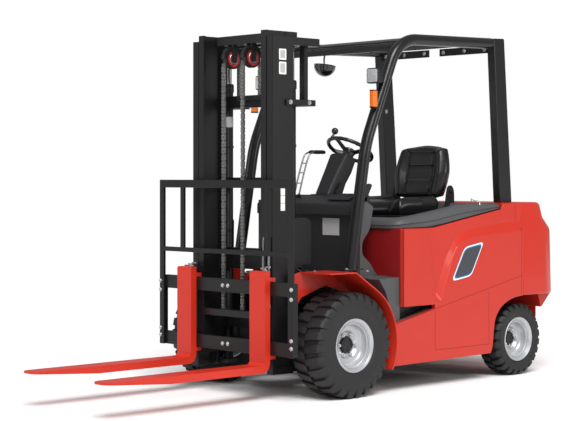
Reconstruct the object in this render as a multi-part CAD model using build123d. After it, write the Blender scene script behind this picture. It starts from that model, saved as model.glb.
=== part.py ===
from build123d import *
import math
import os

# Driving dimensions in millimetres.
# +X is the truck's left side, the forks point to -Y and +Z is up.
# Until the last lines, Y is counted from the front axle and Z from the floor.
WHEELBASE = 1500
OVERALL_WIDTH = 1244
REAR_OVERHANG = 390

# Wheels
FRONT_TYRE_D = 582
FRONT_TYRE_W = 225
FRONT_RIM_D = 296
FRONT_LUGS = 26
REAR_TYRE_D = 440
REAR_TYRE_W = 160
REAR_RIM_D = 268
REAR_LUGS = 24
REAR_TRACK = 972
LUG_DEPTH = 15
FLANGE_H = 21
RIM_WALL = 9
WHEEL_CLEARANCE = 0.3

# Steer axle
KINGPIN_X = 350
KINGPIN_R = 17
KNUCKLE_R = 34
KNUCKLE_H = 116
AXLE_PLATE_T = 22
PIN_CLEARANCE = 0.05
FACE_CLEARANCE = 0.3

# Forks and carriage
FORK_LENGTH = 1070
FORK_WIDTH = 122
FORK_THICKNESS = 40
FORK_TAPER = 420
FORK_SPREAD = 736
FORK_SHANK_H = 548
FORK_RAISED = 155
FRONT_OVERHANG = 446
BAR_T = 26
BAR_H = 76
CARRIAGE_H = 400
CARRIAGE_ABOVE_BLADE = 92
CARRIAGE_W = 1060
BACKREST_W = 1116
BACKREST_TOP = 1197
BACKREST_T = 16
BACKREST_BAR = 45

# Mast
MAST_WIDTH = 668
MAST_DEPTH = 159
MAST_FRONT_Y = -357
MAST_BOTTOM = 134
MAST_OUTER_TOP = 1986
MAST_INNER_TOP = 2018
MAST_INNER_BOTTOM = 210
RAIL_WEB_T = 12
RAIL_FLANGE_T = 16
OUTER_FLANGE_W = 46
INNER_FLANGE_W = 43
RAIL_GAP = 5
TIE_T = 14
LIFT_CYL_D = 57
LIFT_ROD_D = 40
LIFT_CYL_X = 262
LIFT_STROKE = 1365
LIFT_RESERVE = 70

# Mast tilt
TILT_PIVOT_Y = -120
TILT_PIVOT_Z = 230
TILT_PIN_R = 22
TILT_CYL_X = 195
TILT_EYE_Y = -140
TILT_EYE_Z = 750
TILT_BASE_Y = 330
TILT_BASE_Z = 540
TILT_BARREL_R = 32
TILT_ROD_R = 17
TILT_GLAND = 345
TILT_ROD_INSIDE = 116
TILT_EYE_R = 30
TILT_EYE_PIN_R = 14
TILT_EYE_PLAY = 3

# Chassis and body
BODY_HALF_W = 590
PANEL_T = 30
BATTERY_HALF_W = 480
FLOOR_FRONT_Y = 235
SILL_Z = 148
PANEL_FRONT_Y = 422
COUNTERWEIGHT_Y = 1510
COUNTERWEIGHT_TOP = 1056
FLOOR_Z = 640
FENDER_R = 347
FENDER_TOP = 692
FENDER_T = 8
FENDER_FRONT_Y = -190
FENDER_WALL_FRONT_Y = -247
FENDER_HALF_W = 612
FRAME_HALF_W = 372
FRAME_PLATE_T = 24

# Overhead guard
GUARD_HALF_W = 500
GUARD_TUBE_D = 73
GUARD_FOOT_Y = 142
GUARD_CORNER_Y = 512
GUARD_CORNER_Z = 1968
GUARD_REAR_Y = 1432
GUARD_TOP = 2060
GUARD_BEND_R = 280
REAR_LEG_W = 58
REAR_LEG_D = 98

# Derived places
FRONT_AXLE_Z = FRONT_TYRE_D / 2
REAR_AXLE_Z = REAR_TYRE_D / 2
FRONT_WHEEL_X = (OVERALL_WIDTH - FRONT_TYRE_W) / 2
REAR_WHEEL_X = REAR_TRACK / 2
REAR_Y = WHEELBASE + REAR_OVERHANG
FORK_TIP_Y = -FRONT_OVERHANG - FORK_LENGTH
FORK_BACK_Y = -FRONT_OVERHANG + FORK_THICKNESS
BAR_Y = FORK_BACK_Y + 1
MAST_REAR_Y = MAST_FRONT_Y + MAST_DEPTH
CARRIAGE_Z = FORK_RAISED + CARRIAGE_ABOVE_BLADE
SHIFT_Y = -(FORK_TIP_Y + REAR_Y) / 2
CENTRE_Z = (Align.CENTER, Align.CENTER, Align.MIN)


def block(x0, x1, y0, y1, z0, z1):
    """A box from its lowest to its highest corner."""
    middle = ((x0 + x1) / 2, (y0 + y1) / 2, (z0 + z1) / 2)
    return Pos(*middle) * Box(abs(x1 - x0), abs(y1 - y0), abs(z1 - z0))


def bar_x(radius, x0, x1, y, z):
    """A round bar along X."""
    return Pos((x0 + x1) / 2, y, z) * Rot(0, 90, 0) * Cylinder(radius, abs(x1 - x0))


def bar_y(radius, y0, y1, x, z):
    """A round bar along Y."""
    return Pos(x, (y0 + y1) / 2, z) * Rot(90, 0, 0) * Cylinder(radius, abs(y1 - y0))


def bar_z(radius, z0, z1, x, y):
    """A round bar along Z."""
    return Pos(x, y, (z0 + z1) / 2) * Cylinder(radius, abs(z1 - z0))


def bar_between(radius, start, end):
    """A round bar between two points."""
    direction = Vector(*end) - Vector(*start)
    plane = Plane(origin=start, z_dir=direction)
    return plane * Cylinder(radius, direction.length, align=CENTRE_Z)


def side_plate(points, x0, x1):
    """A plate with a Y-Z outline, from x0 to x1."""
    outline = Plane.YZ.offset(min(x0, x1)) * make_face(Polyline(*points, close=True))
    return extrude(outline, abs(x1 - x0))


def mirrored(shape):
    """The same shape on the truck's right side."""
    return mirror(shape, about=Plane.YZ)


def both_sides(shape):
    """A left and a right copy, as one group of two solids."""
    return Compound(children=[*shape.solids(), *mirrored(shape).solids()])


def group(*shapes):
    """Solids that don't touch, kept as one piece."""
    return Compound(children=[solid for shape in shapes for solid in shape.solids()])


def tyre(diameter, width, rim_d, lugs):
    """Solid tyre about the X axis: two rows of shoulder lugs, half a pitch apart."""
    radius = diameter / 2
    seat = rim_d / 2 - FLANGE_H
    half = width / 2
    flange_x = half - 18
    outline = Polyline(
        (-flange_x, seat + WHEEL_CLEARANCE), (-flange_x, rim_d / 2 + 1), (-half + 7, rim_d / 2 + 2),
        (-half, (radius + rim_d / 2) / 2 - 6), (-half + 3, radius - 30), (-half + 15, radius),
        (half - 15, radius), (half - 3, radius - 30), (half, (radius + rim_d / 2) / 2 - 6),
        (half - 7, rim_d / 2 + 2), (flange_x, rim_d / 2 + 1), (flange_x, seat + WHEEL_CLEARANCE), close=True)
    body = revolve(make_face(outline), Axis.X)
    groove_w = math.pi * radius / lugs
    cutter = Box(half - 8, groove_w * 0.62, LUG_DEPTH * 2)
    grooves = []
    for row in (-1, 1):
        for index in range(lugs):
            angle = 360 / lugs * (index + (0.5 if row > 0 else 0))
            grooves.append(Rot(angle, 0, 0) * Pos(row * (half / 2 + 4), 0, radius) * cutter)
    return body - grooves


def rim(rim_d, width, disc_x, hub_r, hub_x):
    """Wheel rim about the X axis: two flanges, a barrel and a dished disc with its hub cap."""
    flange_r = rim_d / 2
    seat = flange_r - FLANGE_H
    half = width / 2 - 18 + WHEEL_CLEARANCE
    lip = 9
    barrel = Polyline(
        (-half - lip, flange_r), (-half, flange_r), (-half, seat), (half, seat), (half, flange_r),
        (half + lip, flange_r), (half + lip, flange_r - 8), (half - 2, seat - RIM_WALL),
        (-half + 2, seat - RIM_WALL), (-half - lip, flange_r - 8), close=True)
    disc = Polyline(
        (disc_x, 0), (disc_x, seat * 0.55), (disc_x + 14, seat * 0.72), (disc_x + 14, seat - 4),
        (disc_x + 24, seat - 4), (disc_x + 24, seat * 0.70), (disc_x + 10, seat * 0.52),
        (disc_x + 10, hub_r), (hub_x, hub_r), (hub_x + 4, hub_r - 6), (hub_x + 4, 0), close=True)
    return revolve(make_face(barrel), Axis.X) + revolve(make_face(disc), Axis.X)


FRONT_DISC_X = 18
REAR_DISC_X = -22


def front_tyre():
    return Pos(FRONT_WHEEL_X, 0, FRONT_AXLE_Z) * tyre(FRONT_TYRE_D, FRONT_TYRE_W, FRONT_RIM_D, FRONT_LUGS)


def front_rim():
    shape = rim(FRONT_RIM_D, FRONT_TYRE_W, FRONT_DISC_X, 52, 62)
    return Pos(FRONT_WHEEL_X, 0, FRONT_AXLE_Z) * shape


def rear_tyre():
    return Pos(REAR_WHEEL_X, WHEELBASE, REAR_AXLE_Z) * tyre(REAR_TYRE_D, REAR_TYRE_W, REAR_RIM_D, REAR_LUGS)


def rear_rim():
    shape = rim(REAR_RIM_D, REAR_TYRE_W, REAR_DISC_X, 36, 24)
    return Pos(REAR_WHEEL_X, WHEELBASE, REAR_AXLE_Z) * shape


def front_axle():
    """Drive axle: tubes, brake housings, gear housing and motor, with ears for the mast's pins."""
    hub_end = FRONT_WHEEL_X + FRONT_DISC_X - FACE_CLEARANCE
    tube_end = FRONT_WHEEL_X - FRONT_TYRE_W / 2 + 20
    shape = bar_x(62, -tube_end, tube_end, 0, FRONT_AXLE_Z)
    shape += bar_x(112, -110, 110, 0, FRONT_AXLE_Z)
    shape += bar_y(98, 0, 330, 0, FRONT_AXLE_Z + 10)
    for side in (-1, 1):
        shape += bar_x(96, side * tube_end, side * (tube_end + 55), 0, FRONT_AXLE_Z)
        shape += bar_x(60, side * tube_end, side * hub_end, 0, FRONT_AXLE_Z)
        x0, x1 = side * (EAR_X1 + FACE_CLEARANCE), side * (FRAME_HALF_W - FRAME_PLATE_T - FACE_CLEARANCE)
        ear = side_plate(EAR_OUTLINE, x0, x1)
        shape += ear
        shape += bar_x(TILT_PIN_R, side * EAR_X0, x1, TILT_PIVOT_Y, TILT_PIVOT_Z)
    return shape


# The mast's lower ears sit inside the axle's ears, on the same pin.
EAR_X1 = MAST_WIDTH / 2
EAR_X0 = EAR_X1 - 34
EAR_OUTLINE = [(TILT_PIVOT_Y - 36, TILT_PIVOT_Z - 30), (TILT_PIVOT_Y + 20, TILT_PIVOT_Z - 40),
               (0, FRONT_AXLE_Z - 50), (0, FRONT_AXLE_Z + 50), (TILT_PIVOT_Y - 10, TILT_PIVOT_Z + 40),
               (TILT_PIVOT_Y - 36, TILT_PIVOT_Z + 30)]


def rear_axle():
    """Steer axle: an upper and a lower plate with the steering cylinder between them."""
    half_gap = KNUCKLE_H / 2 + FACE_CLEARANCE
    outline = [(-KINGPIN_X - 30, -26), (-KINGPIN_X + 60, -34), (-150, -62), (150, -62),
               (KINGPIN_X - 60, -34), (KINGPIN_X + 30, -26), (KINGPIN_X + 30, 26),
               (KINGPIN_X - 60, 34), (150, 62), (-150, 62), (-KINGPIN_X + 60, 34), (-KINGPIN_X - 30, 26)]
    face = make_face(Polyline(*outline, close=True))
    plate = extrude(face, AXLE_PLATE_T)
    low = Pos(0, WHEELBASE, REAR_AXLE_Z - half_gap - AXLE_PLATE_T) * plate
    high = Pos(0, WHEELBASE, REAR_AXLE_Z + half_gap) * plate
    shape = low + high
    shape += block(-30, 30, WHEELBASE - 58, WHEELBASE - 34, REAR_AXLE_Z - half_gap, REAR_AXLE_Z + half_gap)
    shape += bar_x(STEER_CYL_R, -STEER_CYL_HALF, STEER_CYL_HALF, WHEELBASE, REAR_AXLE_Z)
    shape += block(-26, 26, WHEELBASE - 50, WHEELBASE + 20, REAR_AXLE_Z - 45, REAR_AXLE_Z + 45)
    shape += block(-70, 70, WHEELBASE - 50, WHEELBASE + 50,
                   REAR_AXLE_Z + half_gap + AXLE_PLATE_T, AXLE_SEAT_Z)
    rod_hole = bar_x(STEER_ROD_R + PIN_CLEARANCE, -STEER_CYL_HALF - 5, STEER_CYL_HALF + 5, WHEELBASE, REAR_AXLE_Z)
    shape -= rod_hole
    for side in (-1, 1):
        for z0 in (REAR_AXLE_Z - half_gap - AXLE_PLATE_T - 1, REAR_AXLE_Z + half_gap - 1):
            shape -= bar_z(KINGPIN_R + PIN_CLEARANCE, z0, z0 + AXLE_PLATE_T + 2, side * KINGPIN_X, WHEELBASE)
    return shape


STEER_CYL_R = 34
STEER_CYL_HALF = 110
STEER_ARM = 45
STEER_ROD_R = 14
STEER_ROD_HALF = 190
AXLE_SEAT_Z = 330


def steer_rod():
    """Through rod of the steering cylinder, with an eye at each end."""
    shape = bar_x(STEER_ROD_R, -STEER_ROD_HALF, STEER_ROD_HALF, WHEELBASE, REAR_AXLE_Z)
    for side in (-1, 1):
        eye = bar_z(20, REAR_AXLE_Z - 15, REAR_AXLE_Z + 15, side * STEER_ROD_HALF, WHEELBASE)
        shape += eye
        shape -= bar_z(9, REAR_AXLE_Z - 20, REAR_AXLE_Z + 20, side * STEER_ROD_HALF, WHEELBASE)
    return shape


def knuckle():
    """Steering knuckle: kingpin barrel, stub axle, hub face and steering arm."""
    pin_h = KNUCKLE_H / 2 + AXLE_PLATE_T - 2
    hub_end = REAR_WHEEL_X + REAR_DISC_X - FACE_CLEARANCE
    shape = bar_z(KNUCKLE_R, REAR_AXLE_Z - KNUCKLE_H / 2, REAR_AXLE_Z + KNUCKLE_H / 2, KINGPIN_X, WHEELBASE)
    shape += bar_z(KINGPIN_R, REAR_AXLE_Z - pin_h, REAR_AXLE_Z + pin_h, KINGPIN_X, WHEELBASE)
    shape += bar_x(30, KINGPIN_X, hub_end - 24, WHEELBASE, REAR_AXLE_Z)
    shape += bar_x(62, hub_end - 24, hub_end, WHEELBASE, REAR_AXLE_Z)
    arm = block(KINGPIN_X - 16, KINGPIN_X + 16, WHEELBASE, WHEELBASE + STEER_ARM + 14,
                REAR_AXLE_Z - KNUCKLE_H / 2, REAR_AXLE_Z - KNUCKLE_H / 2 + 18)
    return shape + arm


def frame():
    """Welded chassis: front side plates, bulkheads, battery pan and rear axle carrier."""
    plate_x = FRAME_HALF_W - FRAME_PLATE_T
    shape = block(-BODY_HALF_W + PANEL_T, BODY_HALF_W - PANEL_T, PANEL_FRONT_Y, PAN_REAR_Y, SILL_Z + 8, PAN_TOP)
    for side in (-1, 1):
        outline = [(-70, 232), (PANEL_FRONT_Y + 20, SILL_Z + 8), (PANEL_FRONT_Y + 20, FLOOR_Z - FACE_CLEARANCE),
                   (130, FLOOR_Z - FACE_CLEARANCE), (60, 560), (-70, 520)]
        plate = side_plate(outline, side * plate_x, side * FRAME_HALF_W)
        plate -= bar_x(64, side * (plate_x - 5), side * (FRAME_HALF_W + 5), 0, FRONT_AXLE_Z)
        shape += plate
    shape += block(-plate_x - 1, plate_x + 1, PANEL_FRONT_Y, PANEL_FRONT_Y + 20, SILL_Z + 8, FLOOR_Z - FACE_CLEARANCE)
    shape += block(-BODY_HALF_W + PANEL_T, BODY_HALF_W - PANEL_T, PAN_REAR_Y - 20, PAN_REAR_Y, SILL_Z + 8, 900)
    shape += block(-CARRIER_HALF_W, CARRIER_HALF_W, PAN_REAR_Y, REAR_CARRIER_Y, AXLE_SEAT_Z, ARCH_TOP - FACE_CLEARANCE)
    shape += block(-BODY_HALF_W + PANEL_T, BODY_HALF_W - PANEL_T, PAN_REAR_Y, COUNTERWEIGHT_Y - 3, ARCH_TOP + 4, ARCH_TOP + 28)
    cheek = [(PANEL_FRONT_Y + 1, TILT_BASE_Z - 45), (TILT_BASE_Y - 20, TILT_BASE_Z - 22), (TILT_BASE_Y - 20, TILT_BASE_Z + 22),
             (PANEL_FRONT_Y + 1, TILT_BASE_Z + 45)]
    for side in (-1, 1):
        shape += block(side * (GUARD_HALF_W - REAR_LEG_W), side * GUARD_HALF_W, COUNTERWEIGHT_Y - 113,
                       COUNTERWEIGHT_Y - 3, ARCH_TOP + 27, DECK_Z - FACE_CLEARANCE)
        for x0 in (TILT_CYL_X - 30, TILT_CYL_X + 20):
            shape += side_plate(cheek, side * x0, side * (x0 + 10))
        shape += bar_x(TILT_EYE_PIN_R, side * (TILT_CYL_X - 34), side * (TILT_CYL_X + 34), TILT_BASE_Y, TILT_BASE_Z)
    return shape


PAN_TOP = 180
PAN_REAR_Y = 1165
CARRIER_HALF_W = 120
REAR_CARRIER_Y = 1560
ARCH_TOP = 489
DECK_Z = 1000


def side_panel():
    """Red body side, from the step to the counterweight, with the rear wheel arch."""
    x0 = BODY_HALF_W - PANEL_T
    outline = [(FENDER_R - 2, SILL_Z), (1192, SILL_Z + 10), (1212, 200), (1231, 338), (1262, 396), (1300, 432),
               (1360, 462), (1425, 480), (COUNTERWEIGHT_Y - 3, ARCH_TOP), (COUNTERWEIGHT_Y - 3, COUNTERWEIGHT_TOP),
               (1330, 1048), (1290, 1004), (PANEL_FRONT_Y, 920), (PANEL_FRONT_Y, 477), (690, 477), (690, 454),
               (FENDER_R + 12, 386)]
    return side_plate(outline, x0, BODY_HALF_W)


def fender():
    """Front wheel cover: a rolled sheet over the tyre with its inner wall."""
    centre = (0, FRONT_AXLE_Z)
    low, high = math.radians(-27), math.radians(FENDER_BEND)
    def arc_point(angle, radius):
        return (radius * math.cos(angle), centre[1] + radius * math.sin(angle))
    def path(radius, top):
        start, end = arc_point(low, radius), arc_point(high, radius)
        middle = arc_point((low + high) / 2, radius)
        slope = math.tan(high + math.pi / 2)
        flat_y = end[0] + (top - end[1]) / slope
        return start, middle, end, (flat_y, top)
    a, am, b, c = path(FENDER_R, FENDER_TOP)
    a2, am2, b2, c2 = path(FENDER_R - FENDER_T, FENDER_TOP - FENDER_T)
    front, front2 = (FENDER_FRONT_Y, FENDER_TOP), (FENDER_FRONT_Y, FENDER_TOP - FENDER_T)
    edge = (ThreePointArc(a, am, b) + Polyline(b, c, front, front2, c2, b2)
            + ThreePointArc(b2, am2, a2) + Line(a2, a))
    sheet = extrude(Plane.YZ.offset(FENDER_INNER_X) * make_face(edge), FENDER_HALF_W - FENDER_INNER_X)
    reach = FENDER_R - 30
    wall_edge = [(FENDER_WALL_FRONT_Y, FENDER_TOP - 14), (FENDER_FRONT_Y, FENDER_TOP - 2), c, b,
                 arc_point(math.radians(35), reach), arc_point(math.radians(60), reach),
                 arc_point(math.radians(90), reach), arc_point(math.radians(125), reach),
                 (FENDER_WALL_FRONT_Y + 20, 500), (FENDER_WALL_FRONT_Y, 520)]
    wall = side_plate(wall_edge, FENDER_INNER_X, FENDER_INNER_X + FENDER_T)
    return sheet + wall


FENDER_INNER_X = FRAME_HALF_W + 0.5
FENDER_BEND = 58


def fender_slope():
    """Ends of the straight slope between the fender's flat top and its arc."""
    angle = math.radians(FENDER_BEND)
    end = (FENDER_R * math.cos(angle), FRONT_AXLE_Z + FENDER_R * math.sin(angle))
    return (end[0] - (FENDER_TOP - end[1]) * math.tan(angle), FENDER_TOP), end


def footwell():
    """Grey floor, step treads and the side panels up to the dash."""
    shape = block(-FLOOR_HALF_W, FLOOR_HALF_W, FLOOR_FRONT_Y, PANEL_FRONT_Y - 1, FLOOR_Z, FLOOR_Z + 8)
    for side in (-1, 1):
        outline = [(PANEL_FRONT_Y - 1, FLOOR_Z + 4), (PANEL_FRONT_Y - 1, 384), (FENDER_R + 14, 376),
                   (FENDER_R + 14, 400), (310, 560), (250, FLOOR_Z), (FLOOR_FRONT_Y, FLOOR_Z + 4)]
        shape += side_plate(outline, side * (FRAME_HALF_W + 12), side * (BODY_HALF_W - PANEL_T - 2))
        tread = [(FENDER_R + 14, 372), (686, 440), (686, 452), (FENDER_R + 14, 384)]
        shape += side_plate(tread, side * (BATTERY_HALF_W + 12), side * (BODY_HALF_W - PANEL_T - 2))
        outline = [(FLOOR_FRONT_Y, FLOOR_Z), (400, FLOOR_Z), (380, 720), (300, 800), (300, 900), (370, 1010),
                   (390, 1100), (336, 1125), (FLOOR_FRONT_Y, 1125)]
        shape += side_plate(outline, side * (DASH_HALF_W + 0.3), side * (DASH_HALF_W + 24))
    return shape


def cowl():
    """Dash across the front of the footwell, with its apron and top cover."""
    outline = [(120, 1000), (320, 1000), (330, 1128), (300, 1142), (150, 1142), (120, 1120)]
    shape = side_plate(outline, -DASH_HALF_W, DASH_HALF_W)
    apron_x = DASH_HALF_W - 33
    shape += block(-apron_x, apron_x, FLOOR_FRONT_Y + 1, FLOOR_FRONT_Y + 17, FLOOR_Z + 8.3, 1001)
    return shape


DASH_HALF_W = 398
FLOOR_HALF_W = 470
COLUMN_HALF_W = 82


def column_cover():
    """Tapered steering column tower on the dash."""
    outline = [(155, 1142.3), (297, 1142.3), (530, 1275), (552, 1300), (500, 1335), (440, 1330)]
    shape = side_plate(outline, -COLUMN_HALF_W, COLUMN_HALF_W)
    lean = math.radians(WHEEL_TILT)
    def along(distance):
        return (0, WHEEL_CENTRE[0] - distance * math.sin(lean), WHEEL_CENTRE[1] - distance * math.cos(lean))
    return shape + bar_between(30, along(WHEEL_HUB_H + FACE_CLEARANCE), along(WHEEL_HUB_H + 60))


WHEEL_CENTRE = (592, 1375)
WHEEL_R = 150
WHEEL_TILT = 30
WHEEL_TUBE_R = 12


def steering_wheel():
    """Rim, two spokes, hub and spinner knob, turned about the column's axis."""
    ring_r = WHEEL_R - WHEEL_TUBE_R
    shape = Torus(ring_r, WHEEL_TUBE_R)
    shape += Pos(0, 0, -WHEEL_HUB_H) * Cylinder(34, WHEEL_HUB_H + 2, align=CENTRE_Z)
    shape += Pos(0, 0, -1) * Box(2 * ring_r, 32, 9)
    shape += Pos(0, -ring_r / 2, -1) * Box(30, ring_r, 8)
    knob = Pos(-KNOB_X, -math.sqrt(ring_r ** 2 - KNOB_X ** 2), 0)
    shape += knob * Cylinder(7, 44, align=CENTRE_Z)
    shape += knob * Pos(0, 0, 52) * Sphere(19)
    return Pos(0, *WHEEL_CENTRE) * Rot(-WHEEL_TILT, 0, 0) * shape


WHEEL_HUB_H = 42
KNOB_X = 40


def battery():
    """Traction battery, one plain block on the pan."""
    return block(-BATTERY_HALF_W, BATTERY_HALF_W, PANEL_FRONT_Y + 40, PAN_REAR_Y - 40, PAN_TOP, 880)


def battery_front():
    """Dark red panel that closes the battery bay to the footwell."""
    return block(-BODY_HALF_W + PANEL_T + 1, BODY_HALF_W - PANEL_T - 1, PANEL_FRONT_Y + 2, PANEL_FRONT_Y + 20,
                 FLOOR_Z, 922.6)


def hood():
    """Moulded battery cover that carries the seat, rising to the rear."""
    outline = [(PANEL_FRONT_Y - 8, 922), (PANEL_FRONT_Y - 8, 960), (PANEL_FRONT_Y + 12, 984),
               (1300, 1070), (HOOD_REAR_Y, 1050), (HOOD_REAR_Y, 1012)]
    shape = side_plate(outline, -HOOD_HALF_W, HOOD_HALF_W)
    return shape - block(-300, 300, 640, 1280, SEAT_DECK_Z, 1200)


HOOD_REAR_Y = 1330
HOOD_HALF_W = 556
SEAT_DECK_Z = 1002


def rear_deck():
    """Deck behind the hood that carries the guard's rear legs."""
    half = BODY_HALF_W - PANEL_T - FACE_CLEARANCE
    return block(-half, half, HOOD_REAR_Y + 4, COUNTERWEIGHT_Y - FACE_CLEARANCE, DECK_Z, COUNTERWEIGHT_TOP)


def seat_frame():
    """Seat slides and pan, with the upright side restraints."""
    shape = block(-215, 215, 800, 1215, SEAT_DECK_Z, SEAT_DECK_Z + 22)
    for side in (-1, 1):
        shape += block(side * 248, side * 262, 1150, 1235, SEAT_DECK_Z, 1150)
        shape += block(side * 200, side * 262, 1160, 1200, SEAT_DECK_Z, SEAT_DECK_Z + 16)
    return shape


def seat_cushion():
    shape = block(-240, 240, 785, 1215, SEAT_DECK_Z + 22.5, 1105)
    return fillet(shape.edges().filter_by(Axis.Z), 45)


def seat_back():
    outline = [(1219, 1062), (1219, 1105.5), (1165, 1106), (1200, 1398), (1225, 1410), (1266, 1398), (1262, 1062)]
    return side_plate(outline, -235, 235)


def counterweight():
    """Cast rear weight: tapered sides, stepped top and open wheel arches."""
    plan = [(-BODY_HALF_W, COUNTERWEIGHT_Y), (BODY_HALF_W, COUNTERWEIGHT_Y), (BODY_HALF_W, 1640),
            (530, 1800), (440, 1868), (300, REAR_Y), (-300, REAR_Y), (-440, 1868), (-530, 1800), (-BODY_HALF_W, 1640)]
    shape = extrude(Plane.XY.offset(ARCH_TOP) * make_face(Polyline(*plan, close=True)), COUNTERWEIGHT_TOP - ARCH_TOP)
    slope = [(1700, COUNTERWEIGHT_TOP + 1), (1740, 960), (1840, 905), (REAR_Y + 5, 895), (REAR_Y + 5, COUNTERWEIGHT_TOP + 1)]
    shape -= side_plate(slope, -BODY_HALF_W - 5, BODY_HALF_W + 5)
    low = [(-350, 1828), (350, 1828), (420, 1850), (400, 1872), (300, REAR_Y), (-300, REAR_Y), (-400, 1872), (-420, 1850)]
    shape += extrude(Plane.XY.offset(170) * make_face(Polyline(*low, close=True)), ARCH_TOP - 170 + 1)
    shape += block(-CARRIER_HALF_W, CARRIER_HALF_W, REAR_CARRIER_Y + 8, 1830, 200, ARCH_TOP + 1)
    shape -= block(-60, 60, REAR_Y - 90, REAR_Y + 5, 330, 420)
    return shape


def tow_pin():
    """Pin through the tow recess of the counterweight."""
    return bar_z(13, 330.3, 419.7, 0, REAR_Y - 40)


def guard_rail():
    """Front leg, bend and roof rail in one bent tube."""
    x = GUARD_HALF_W - GUARD_TUBE_D / 2
    rear_z = GUARD_TOP - GUARD_TUBE_D / 2
    lean = (GUARD_CORNER_Y - GUARD_FOOT_Y) / (GUARD_CORNER_Z - FENDER_TOP)
    path = FilletPolyline((x, GUARD_FOOT_Y - 120 * lean, FENDER_TOP - 120), (x, GUARD_CORNER_Y, GUARD_CORNER_Z),
                          (x, GUARD_REAR_Y - REAR_LEG_D + 20, rear_z), radius=GUARD_BEND_R)
    section = Plane(origin=path @ 0, z_dir=path % 0) * Circle(GUARD_TUBE_D / 2)
    knee, slope_end = fender_slope()
    below = [(knee[0], knee[1] + FACE_CLEARANCE), (slope_end[0], slope_end[1] + FACE_CLEARANCE),
             (slope_end[0], FENDER_TOP - 200), (knee[0] - 200, FENDER_TOP - 200), (knee[0] - 200, FENDER_TOP)]
    tube = sweep(section, path) - side_plate(below, x - GUARD_TUBE_D, x + GUARD_TUBE_D)
    behind = [*guard_leg_front(), (GUARD_REAR_Y + 50, COUNTERWEIGHT_TOP), (GUARD_REAR_Y + 50, GUARD_TOP + 50)]
    return tube - side_plate(behind, x - GUARD_TUBE_D, x + GUARD_TUBE_D)


def guard_leg_front():
    """Front edge of the rear leg, from its top to its foot."""
    top, foot = (GUARD_REAR_Y - REAR_LEG_D, GUARD_TOP - 4), (COUNTERWEIGHT_Y - 113, COUNTERWEIGHT_TOP + FACE_CLEARANCE)
    lean = (foot[0] - top[0]) / (foot[1] - top[1])
    return (top[0] + 60 * lean, top[1] + 60), foot


def guard_rear_legs():
    x0, x1 = GUARD_HALF_W - REAR_LEG_W, GUARD_HALF_W
    foot_z = COUNTERWEIGHT_TOP + FACE_CLEARANCE
    outline = [(GUARD_REAR_Y - REAR_LEG_D, GUARD_TOP - 4), (GUARD_REAR_Y, GUARD_TOP),
               (COUNTERWEIGHT_Y - 5, foot_z), (COUNTERWEIGHT_Y - 113, foot_z)]
    return side_plate(outline, x0, x1)


def guard_roof():
    """Cross beams and slats between the roof rails."""
    inner = GUARD_HALF_W - GUARD_TUBE_D
    def rail_z(y):
        rise = (GUARD_TOP - GUARD_TUBE_D / 2 - GUARD_CORNER_Z) / (GUARD_REAR_Y - REAR_LEG_D - GUARD_CORNER_Y)
        return GUARD_CORNER_Z + rise * (y - GUARD_CORNER_Y)
    shapes = [block(-inner + FACE_CLEARANCE, inner - FACE_CLEARANCE, 618, 658, 1950, 1988)]
    for index in range(GUARD_SLATS):
        y = 690 + index * GUARD_SLAT_PITCH
        shapes.append(Pos(0, y, rail_z(y)) * Rot(20, 0, 0) * Box(2 * (inner - FACE_CLEARANCE), 60, 12))
    return group(*shapes)


GUARD_SLATS = 6
GUARD_SLAT_PITCH = 128


def headlamp():
    x = GUARD_HALF_W - GUARD_TUBE_D / 2
    shape = fillet(block(x - 46, x + 46, 292, 342, 1742, 1830).edges().filter_by(Axis.Y), 14)
    return shape + block(x - 10, x + 10, 341, rail_front(1765) - FACE_CLEARANCE, 1765, 1785)


def rail_front(z):
    """Front of the guard's leg at a height."""
    lean = (GUARD_CORNER_Y - GUARD_FOOT_Y) / (GUARD_CORNER_Z - FENDER_TOP)
    return GUARD_FOOT_Y + lean * (z - FENDER_TOP) - GUARD_TUBE_D / 2 * math.hypot(1, lean)


def indicator():
    x = GUARD_HALF_W - GUARD_TUBE_D / 2
    shape = fillet(block(x - 24, x + 24, 300, 348, 1606, 1700).edges().filter_by(Axis.Y), 10)
    return shape + block(x - 8, x + 8, 347, rail_front(1640) - FACE_CLEARANCE, 1640, 1660)


def mirror_lamp():
    """Half-dome mirror under the front of the roof."""
    shape = Pos(-230, 640, 1860) * Sphere(60)
    shape -= block(-300, -160, 640, 710, 1790, 1930)
    return shape + bar_z(7, 1905, 1950 - FACE_CLEARANCE, -230, 632)


def tail_lamps():
    x0, x1 = GUARD_HALF_W - REAR_LEG_W + 6, GUARD_HALF_W - 6
    return block(x0, x1, 1473.5, 1496, 1500, 1680)


def levers():
    """Bent hydraulic levers beside the column."""
    shapes = []
    for index in range(2):
        x = -150 - index * 45
        low, knee, top = (x, 175, 1149), (x, 250, 1330), (x, 330, 1372)
        lever = bar_between(5, low, knee) + bar_between(5, knee, top)
        lever += Pos(*knee) * Sphere(5)
        lever += bar_between(10, top, (x, 385, 1368)) + bar_z(22, 1142.5, 1150, x, 175)
        shapes.append(lever)
    return group(*shapes)


def pedals():
    pads = []
    for x in (-60, -190):
        pad = Pos(x, 320, 715) * Rot(35, 0, 0) * Box(70, 110, 10)
        pads.append(pad + bar_between(8, (x, 320, 715), (x, FLOOR_FRONT_Y + 23.1, 800)))
    return group(*pads)


def channel(web_x, flange_w, z0, z1):
    """Outer mast rail: a channel open to the middle."""
    y0, y1 = MAST_FRONT_Y, MAST_REAR_Y
    shape = block(web_x - RAIL_WEB_T, web_x, y0, y1, z0, z1)
    shape += block(web_x - flange_w, web_x, y0, y0 + RAIL_FLANGE_T, z0, z1)
    shape += block(web_x - flange_w, web_x, y1 - RAIL_FLANGE_T, y1, z0, z1)
    return shape


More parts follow.
